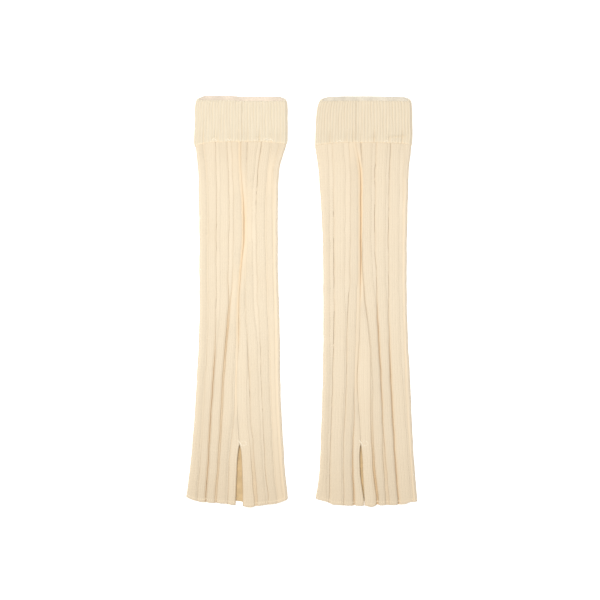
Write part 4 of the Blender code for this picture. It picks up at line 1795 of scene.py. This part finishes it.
@dataclass
class LegWarmer:
    """One leg warmer: leg, cuff and the rows of stitches that finish and join them."""

    side: Side
    leg: Leg
    cuff: Cuff
    flat_leg: tuple[float, float, float]
    flat_cuff: tuple[float, float, float]
    bunches: tuple[tuple[tuple[float, float], ...], ...]
    wale_height: float = 0.00026
    unevenness: float = 0.0005

    def build(self, shop: Workshop) -> list[bpy.types.Object]:
        """Builds and dresses every piece.

        Args:
            shop: The shared finishes and node trees.

        Returns:
            The pieces.
        """
        name = self.side.value
        leg_tube, cuff_tube = LegPiece(self.leg).tube(), CuffPiece(self.leg, self.cuff).tube()
        leg_finish, cuff_finish = shop.materials[f"{name}_leg"], shop.materials[f"{name}_cuff"]
        leg = self.knit(f"{name}_leg_knit", leg_tube, shop, leg_finish, self.wale_height, 6)
        cuff = self.knit(f"{name}_cuff_knit", cuff_tube, shop, cuff_finish, 0.0, 5)
        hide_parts(f"{name}_leg")
        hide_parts(f"{name}_cuff")
        self.finish(leg, Slot.WIDE_RIB)
        self.finish(cuff, Slot.FINE_RIB)
        return [leg, cuff, *self.sewing(leg_tube, cuff_tube, shop)]

    def knit(self, name: str, tube: Tube, shop: Workshop, material: bpy.types.Material, wale_height: float,
             skip: int) -> bpy.types.Object:
        """Builds one knitted wall with its relief.

        Args:
            name: Name of the piece.
            tube: Its wall.
            shop: The shared finishes and node trees.
            material: Its finish.
            wale_height: How far each wale stands up, in metres.
            skip: The inner face takes one row in this many.

        Returns:
            The piece.
        """
        mesh = tube.mesh(f"{name}_base", self.leg.centre, skip)
        return plain_mesh(name, mesh, shop.relief.tree, {
            "Wale Height": wale_height, "Unevenness": self.unevenness, "Seed": float(self.leg.seed),
            "Material": material,
        })

    def finish(self, piece: bpy.types.Object, slot: Slot) -> None:
        """Puts a piece on its body."""
        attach(piece, "root")

    def path(self, name: str, points: Array) -> bpy.types.Mesh:
        """A path of edges.

        Args:
            name: Name of its mesh.
            points: Its points, in millimetres.

        Returns:
            The mesh, in metres.
        """
        mesh = bpy.data.meshes.new(name)
        placed = (points + np.array([self.leg.centre, -LENGTH / 2, 0.0])) * MM
        mesh.from_pydata(placed.tolist(), [(i, i + 1) for i in range(len(placed) - 1)], [])
        return mesh

    def sewing(self, leg_tube: Tube, cuff_tube: Tube, shop: Workshop) -> list[bpy.types.Object]:
        """Rows of stitches: cast-off edge, linked join, seams, slit edges and the tack above the slit.

        Args:
            leg_tube: The leg's wall.
            cuff_tube: The cuff's wall.
            shop: The shared finishes and node trees.

        Returns:
            The pieces.
        """
        return [*self.hem_stitches(leg_tube, shop), *self.join_stitches(cuff_tube, shop),
                *self.seam_stitches(leg_tube, cuff_tube, shop), *self.slit_stitches(leg_tube, shop)]

    @staticmethod
    def halves(under: Array, limit: float) -> list[tuple[str, Array]]:
        """Columns of the upper face at each side of the seam.

        Args:
            under: How far each column lies on the underside, from 0 to 1.
            limit: How far down the side folds the columns go.

        Returns:
            Each side's name and its columns.
        """
        columns = np.arange(len(under))
        upper, middle = under < limit, columns[-1] / 2
        return [("left", columns[upper & (columns < middle)]), ("right", columns[upper & (columns > middle)])]

    def hem_stitches(self, tube: Tube, shop: Workshop) -> list[bpy.types.Object]:
        """The cast-off chain along the hem, which stops short of the side folds and of the slit.

        Args:
            tube: The leg's wall.
            shop: The shared finishes and node trees.

        Returns:
            The pieces.
        """
        outer, _, section, _ = tube.corners()
        row = int(np.searchsorted(tube.rows, CAST_OFF_HEIGHT))
        made = []
        for label, picks in self.halves(section.under[row], 0.1):
            picks = picks[SLIT_FREE:] if label == "left" else picks[:-SLIT_FREE]
            made.append(self.row_of_stitches(f"cast_off_{label}", outer[row, picks], shop, StitchKind.CHAIN,
                                             CAST_OFF, Slot.WIDE_RIB))
        return made

    def join_stitches(self, tube: Tube, shop: Workshop) -> list[bpy.types.Object]:
        """The loops that link leg and cuff, raised in uneven bumps.

        Args:
            tube: The cuff's wall.
            shop: The shared finishes and node trees.

        Returns:
            The pieces.
        """
        outer, _, section, _ = tube.corners()
        made = []
        for label, picks in self.halves(section.under[0], 0.25):
            points = outer[0, picks].copy()
            points[:, 2] = outer[3, picks, 2] - LINK_SUNK
            points[:, 1] += LINK_RISE + waver(points[:, 0], self.leg.seed, *LINK_WAVER)
            made.append(self.row_of_stitches(f"linking_{label}", points, shop, StitchKind.LOOP, LINKING,
                                             Slot.FINE_RIB, yarn="link"))
        # The bunches take the pale yarn: painted highlight where the linking yarn stands up.
        for i, bunch in enumerate(self.bunches):
            points = self.on_cloth(outer, np.zeros(2), bunch)
            made.append(self.row_of_stitches(f"linking_bunch_{i + 1}", points, shop, StitchKind.LOOP, BUNCHES,
                                             Slot.FINE_RIB, "tack"))
        return made

    def seam_stitches(self, leg_tube: Tube, cuff_tube: Tube, shop: Workshop) -> list[bpy.types.Object]:
        """The crosswise stitches that close the leg's seam above the slit and the cuff's seam.

        Args:
            leg_tube: The leg's wall.
            cuff_tube: The cuff's wall.
            shop: The shared finishes and node trees.

        Returns:
            The pieces.
        """
        outer, rows = leg_tube.corners()[0], leg_tube.rows
        closed = between(rows, *LEG_SEWN)
        leg_points = (outer[closed, 0] + outer[closed, -1]) / 2 + np.array([0.0, 0.0, -SEWING_SUNK])
        outer, rows = cuff_tube.corners()[0], cuff_tube.rows
        kept = between(rows, *CUFF_SEWN)
        cuff_points = (outer[kept, 0] + outer[kept, -1]) / 2
        cuff_points[:, 0] += waver(cuff_points[:, 1], self.leg.seed + 9, *CUFF_SEWING_WAVER)
        bar = StitchKind.BAR
        return [
            self.row_of_stitches("seam_stitches", leg_points, shop, bar, SEAM_SEWING, Slot.WIDE_RIB),
            self.row_of_stitches("cuff_seam_stitches", cuff_points, shop, bar, CUFF_SEWING, Slot.FINE_RIB),
        ]

    def slit_stitches(self, tube: Tube, shop: Workshop) -> list[bpy.types.Object]:
        """The loops along both edges of the slit, and the yarn that tacks its top, paler than the cloth as
        painted highlight.

        Args:
            tube: The leg's wall.
            shop: The shared finishes and node trees.

        Returns:
            The pieces.
        """
        outer, rows = tube.corners()[0], tube.rows
        made = []
        for label, column in SLIT_COLUMNS.items():
            points = outer[between(rows, *SLIT_SEWN), column]
            made.append(self.row_of_stitches(f"slit_edge_{label}", points, shop, StitchKind.LOOP, SLIT_EDGE,
                                             Slot.WIDE_RIB))
        middle = (outer[:, 0] + outer[:, -1]) / 2
        top = middle[int(np.searchsorted(rows, SLIT_TOP + 0.5))]
        tacks = (("slit_tack", TACK_SPOTS, TACK), ("slit_tack_ends", TACK_END_SPOTS, TACK_ENDS))
        for label, spots, size in tacks:
            made.append(self.row_of_stitches(label, self.on_cloth(outer, top, spots), shop, StitchKind.LOOP,
                                             size, Slot.WIDE_RIB, "tack"))
        return made

    @staticmethod
    def on_cloth(outer: Array, start: Array, spots: tuple[tuple[float, float], ...]) -> Array:
        """Places on the upper face at given ways across and up from a start.

        Args:
            outer: The wall's outer corners.
            start: The place that the ways are measured from.
            spots: The ways across and up.

        Returns:
            The places, at the height of the cloth there.
        """
        upper = outer[outer[:, :, 2] > LEG_LAYERS.top / 2]
        places = []
        for across, up in spots:
            spot = np.array([start[0] + across, start[1] + up])
            near = np.argsort(((upper[:, :2] - spot) ** 2).sum(axis=1))[:4]
            places.append([*spot, upper[near, 2].max() + STITCH_RISE])
        return np.array(places)

    def row_of_stitches(self, label: str, points: Array, shop: Workshop, kind: StitchKind, size: StitchSize,
                        slot: Slot, yarn: str = "thread") -> bpy.types.Object:
        """Lays one row of stitches along a path.

        Args:
            label: What the row is.
            points: The path, in millimetres.
            shop: The shared finishes and node trees.
            kind: How the yarn lies.
            size: Its sizes.
            slot: The record's material slot.
            yarn: Which yarn it has.

        Returns:
            The piece.
        """
        name = f"{self.side.value}_{label}"
        piece = plain_mesh(name, self.path(f"{name}_path", points), shop.stitches[kind].tree, {
            "Spacing": size.spacing * MM, "Reach": size.reach * MM, "Yarn": size.yarn * MM, "Lean": size.lean,
            "Wander": size.wander, "Seed": self.leg.seed,
            "Material": shop.materials[f"{self.side.value}_{yarn}"],
        })
        self.finish(piece, slot)
        return piece


@dataclass
class Studio:
    """Pale floor, soft light from the upper left and a camera straight above."""

    middle: tuple[float, float] = (-0.00175, 0.00241)
    view_width: float = 0.657
    lens: float = 100.0
    sensor: float = 36.0
    level: float = 0.005
    floor_half: float = 12.0
    floor_level: float = -0.0002
    clip_end: float = 50.0
    light_place: tuple[float, float, float] = (-0.3, 0.22, 1.7)
    light_size: float = 0.9
    light_power: float = 28.0
    sky_power: float = 0.4

    def build(self) -> None:
        """Adds floor, light and camera."""
        self.add_floor()
        self.add_light()
        self.add_camera()

    def add_floor(self) -> None:
        """A wide pale floor just under z = 0."""
        mesh = bpy.data.meshes.new("floor")
        h = self.floor_half
        mesh.from_pydata([(-h, -h, 0), (h, -h, 0), (h, h, 0), (-h, h, 0)], [], [(0, 1, 2, 3)])
        floor = bpy.data.objects.new("floor", mesh)
        floor.location.z = self.floor_level
        bpy.context.scene.collection.objects.link(floor)
        material, w, shader = new_finish("Pale floor", Roughness=1.0, Specular_IOR_Level=0.0,
                                         Emission_Strength=0.4, Emission_Color=(1.0, 1.0, 1.0, 1.0))
        tone = w.noise(w.node("ShaderNodeTexCoord").outputs["Object"], 3.0, 2.0)
        w.put(w.mixed(tone, (0.97, 0.97, 0.97), (0.99, 0.99, 0.99)), shader.inputs["Base Color"])
        mesh.materials.append(material)

    def add_light(self) -> None:
        """Even light from all round and one large soft light from the upper left."""
        world = bpy.data.worlds.new("Studio")
        world.use_nodes = True
        background = world.node_tree.nodes["Background"]
        background.inputs["Color"].default_value = (1.0, 1.0, 1.0, 1.0)
        background.inputs["Strength"].default_value = self.sky_power
        bpy.context.scene.world = world
        data = bpy.data.lights.new("Soft light", "AREA")
        data.shape = "DISK"
        data.size = self.light_size
        data.energy = self.light_power
        light = bpy.data.objects.new("Soft light", data)
        place = Vector(self.light_place)
        light.location = place
        light.rotation_euler = (-place).to_track_quat("-Z", "Y").to_euler()
        bpy.context.scene.collection.objects.link(light)

    def add_camera(self) -> None:
        """Camera that looks straight down and frames a square of the given width."""
        data = bpy.data.cameras.new("Camera")
        data.sensor_width = self.sensor
        data.lens = self.lens
        data.clip_end = self.clip_end
        camera = bpy.data.objects.new("Camera", data)
        camera.location = (*self.middle, self.level + self.view_width * self.lens / self.sensor)
        bpy.context.scene.collection.objects.link(camera)
        bpy.context.scene.camera = camera
        bpy.context.scene.view_settings.view_transform = "Standard"


def make_workshop() -> Workshop:
    """Builds the shared node trees and finishes.

    Returns:
        What both leg warmers share.
    """
    groups = YarnGroups()
    # The right warmer's cloth, thread and linking colours are a little darker than the left ones: painted
    # shade for the light that falls from the left.
    # low, hollow and inside are painted shade on the legs: towards the hem and under the cuff, at the floors
    # of furrows, and on the inner face seen in the slit.
    left_crest, right_crest_shaded, low = (0.862, 0.742, 0.563), (0.84, 0.72, 0.547), (0.753, 0.629, 0.461)
    hollow, inside = (0.71, 0.51, 0.29), (0.7, 0.515, 0.282)
    # The cuffs' valley colours are painted shade between the fine ribs; their rim colours, lighter than the
    # cuff, are painted light on the inner face of the far rim, in the corner behind the near one.
    left_cuff, left_valley_shade, left_rim_painted_light = (0.81, 0.712, 0.545), (0.775, 0.662, 0.485), (0.85, 0.73, 0.6)
    right_cuff, right_valley_shade, right_rim_painted_light = (0.8, 0.695, 0.527), (0.757, 0.636, 0.462), (0.8, 0.725, 0.6)
    finishes: dict[str, KnitFinish | ThreadFinish] = {
        "left_leg": KnitFinish("Cream wide rib", left_crest, low, hollow, inside, 0.55, 0.45),
        "right_leg": KnitFinish("Cream wide rib, second", right_crest_shaded, low, hollow, inside, 0.55, 0.45),
        "left_cuff": KnitFinish("Cream fine rib", left_cuff, left_cuff, left_valley_shade, left_rim_painted_light, 0.5, 0.4),
        "right_cuff": KnitFinish("Cream fine rib, second", right_cuff, right_cuff, right_valley_shade, right_rim_painted_light,
                                 0.5, 0.4),
        "left_thread": ThreadFinish("Cream yarn", (0.87, 0.75, 0.57), (0.75, 0.62, 0.44)),
        "right_thread": ThreadFinish("Cream yarn, second", (0.85, 0.73, 0.55), (0.73, 0.6, 0.43)),
        "left_link": ThreadFinish("Linking yarn", (0.815, 0.712, 0.543), (0.7, 0.59, 0.42)),
        "right_link": ThreadFinish("Linking yarn, second", (0.8, 0.694, 0.525), (0.68, 0.57, 0.41)),
        # The pale yarn of the slit's tack and the linking bunches is painted highlight on raised yarn.
        "left_tack": ThreadFinish("Pale yarn, painted highlight", (0.95, 0.88, 0.74), (0.85, 0.75, 0.58)),
        "right_tack": ThreadFinish("Pale yarn, painted highlight, second", (0.95, 0.88, 0.74), (0.85, 0.75, 0.58)),
    }
    materials = {key: finish.material(groups) for key, finish in finishes.items()}
    stitches = {kind: StitchTree(kind) for kind in StitchKind}
    return Workshop(ReliefTree(), stitches, materials)


def main() -> None:
    """Builds the pair and the studio."""
    logging.basicConfig(level=logging.INFO, format="%(message)s")
    shop = make_workshop()
    for warmer in (
        LegWarmer(Side.LEFT, LEFT_LEG, LEFT_CUFF, (0.224, 0.4, 0.0752), (0.206, 0.05, 0.0099), LEFT_BUNCHES),
        LegWarmer(Side.RIGHT, RIGHT_LEG, RIGHT_CUFF, (0.223, 0.4, 0.0764), (0.214, 0.05, 0.0101),
                  RIGHT_BUNCHES),
    ):
        for piece in warmer.build(shop):
            triangles = sum(len(p.vertices) - 2 for p in piece.data.polygons)
            LOG.info("%s: %d triangles", piece.name, triangles)
    Studio().build()


if __name__ == "__main__":
    main()
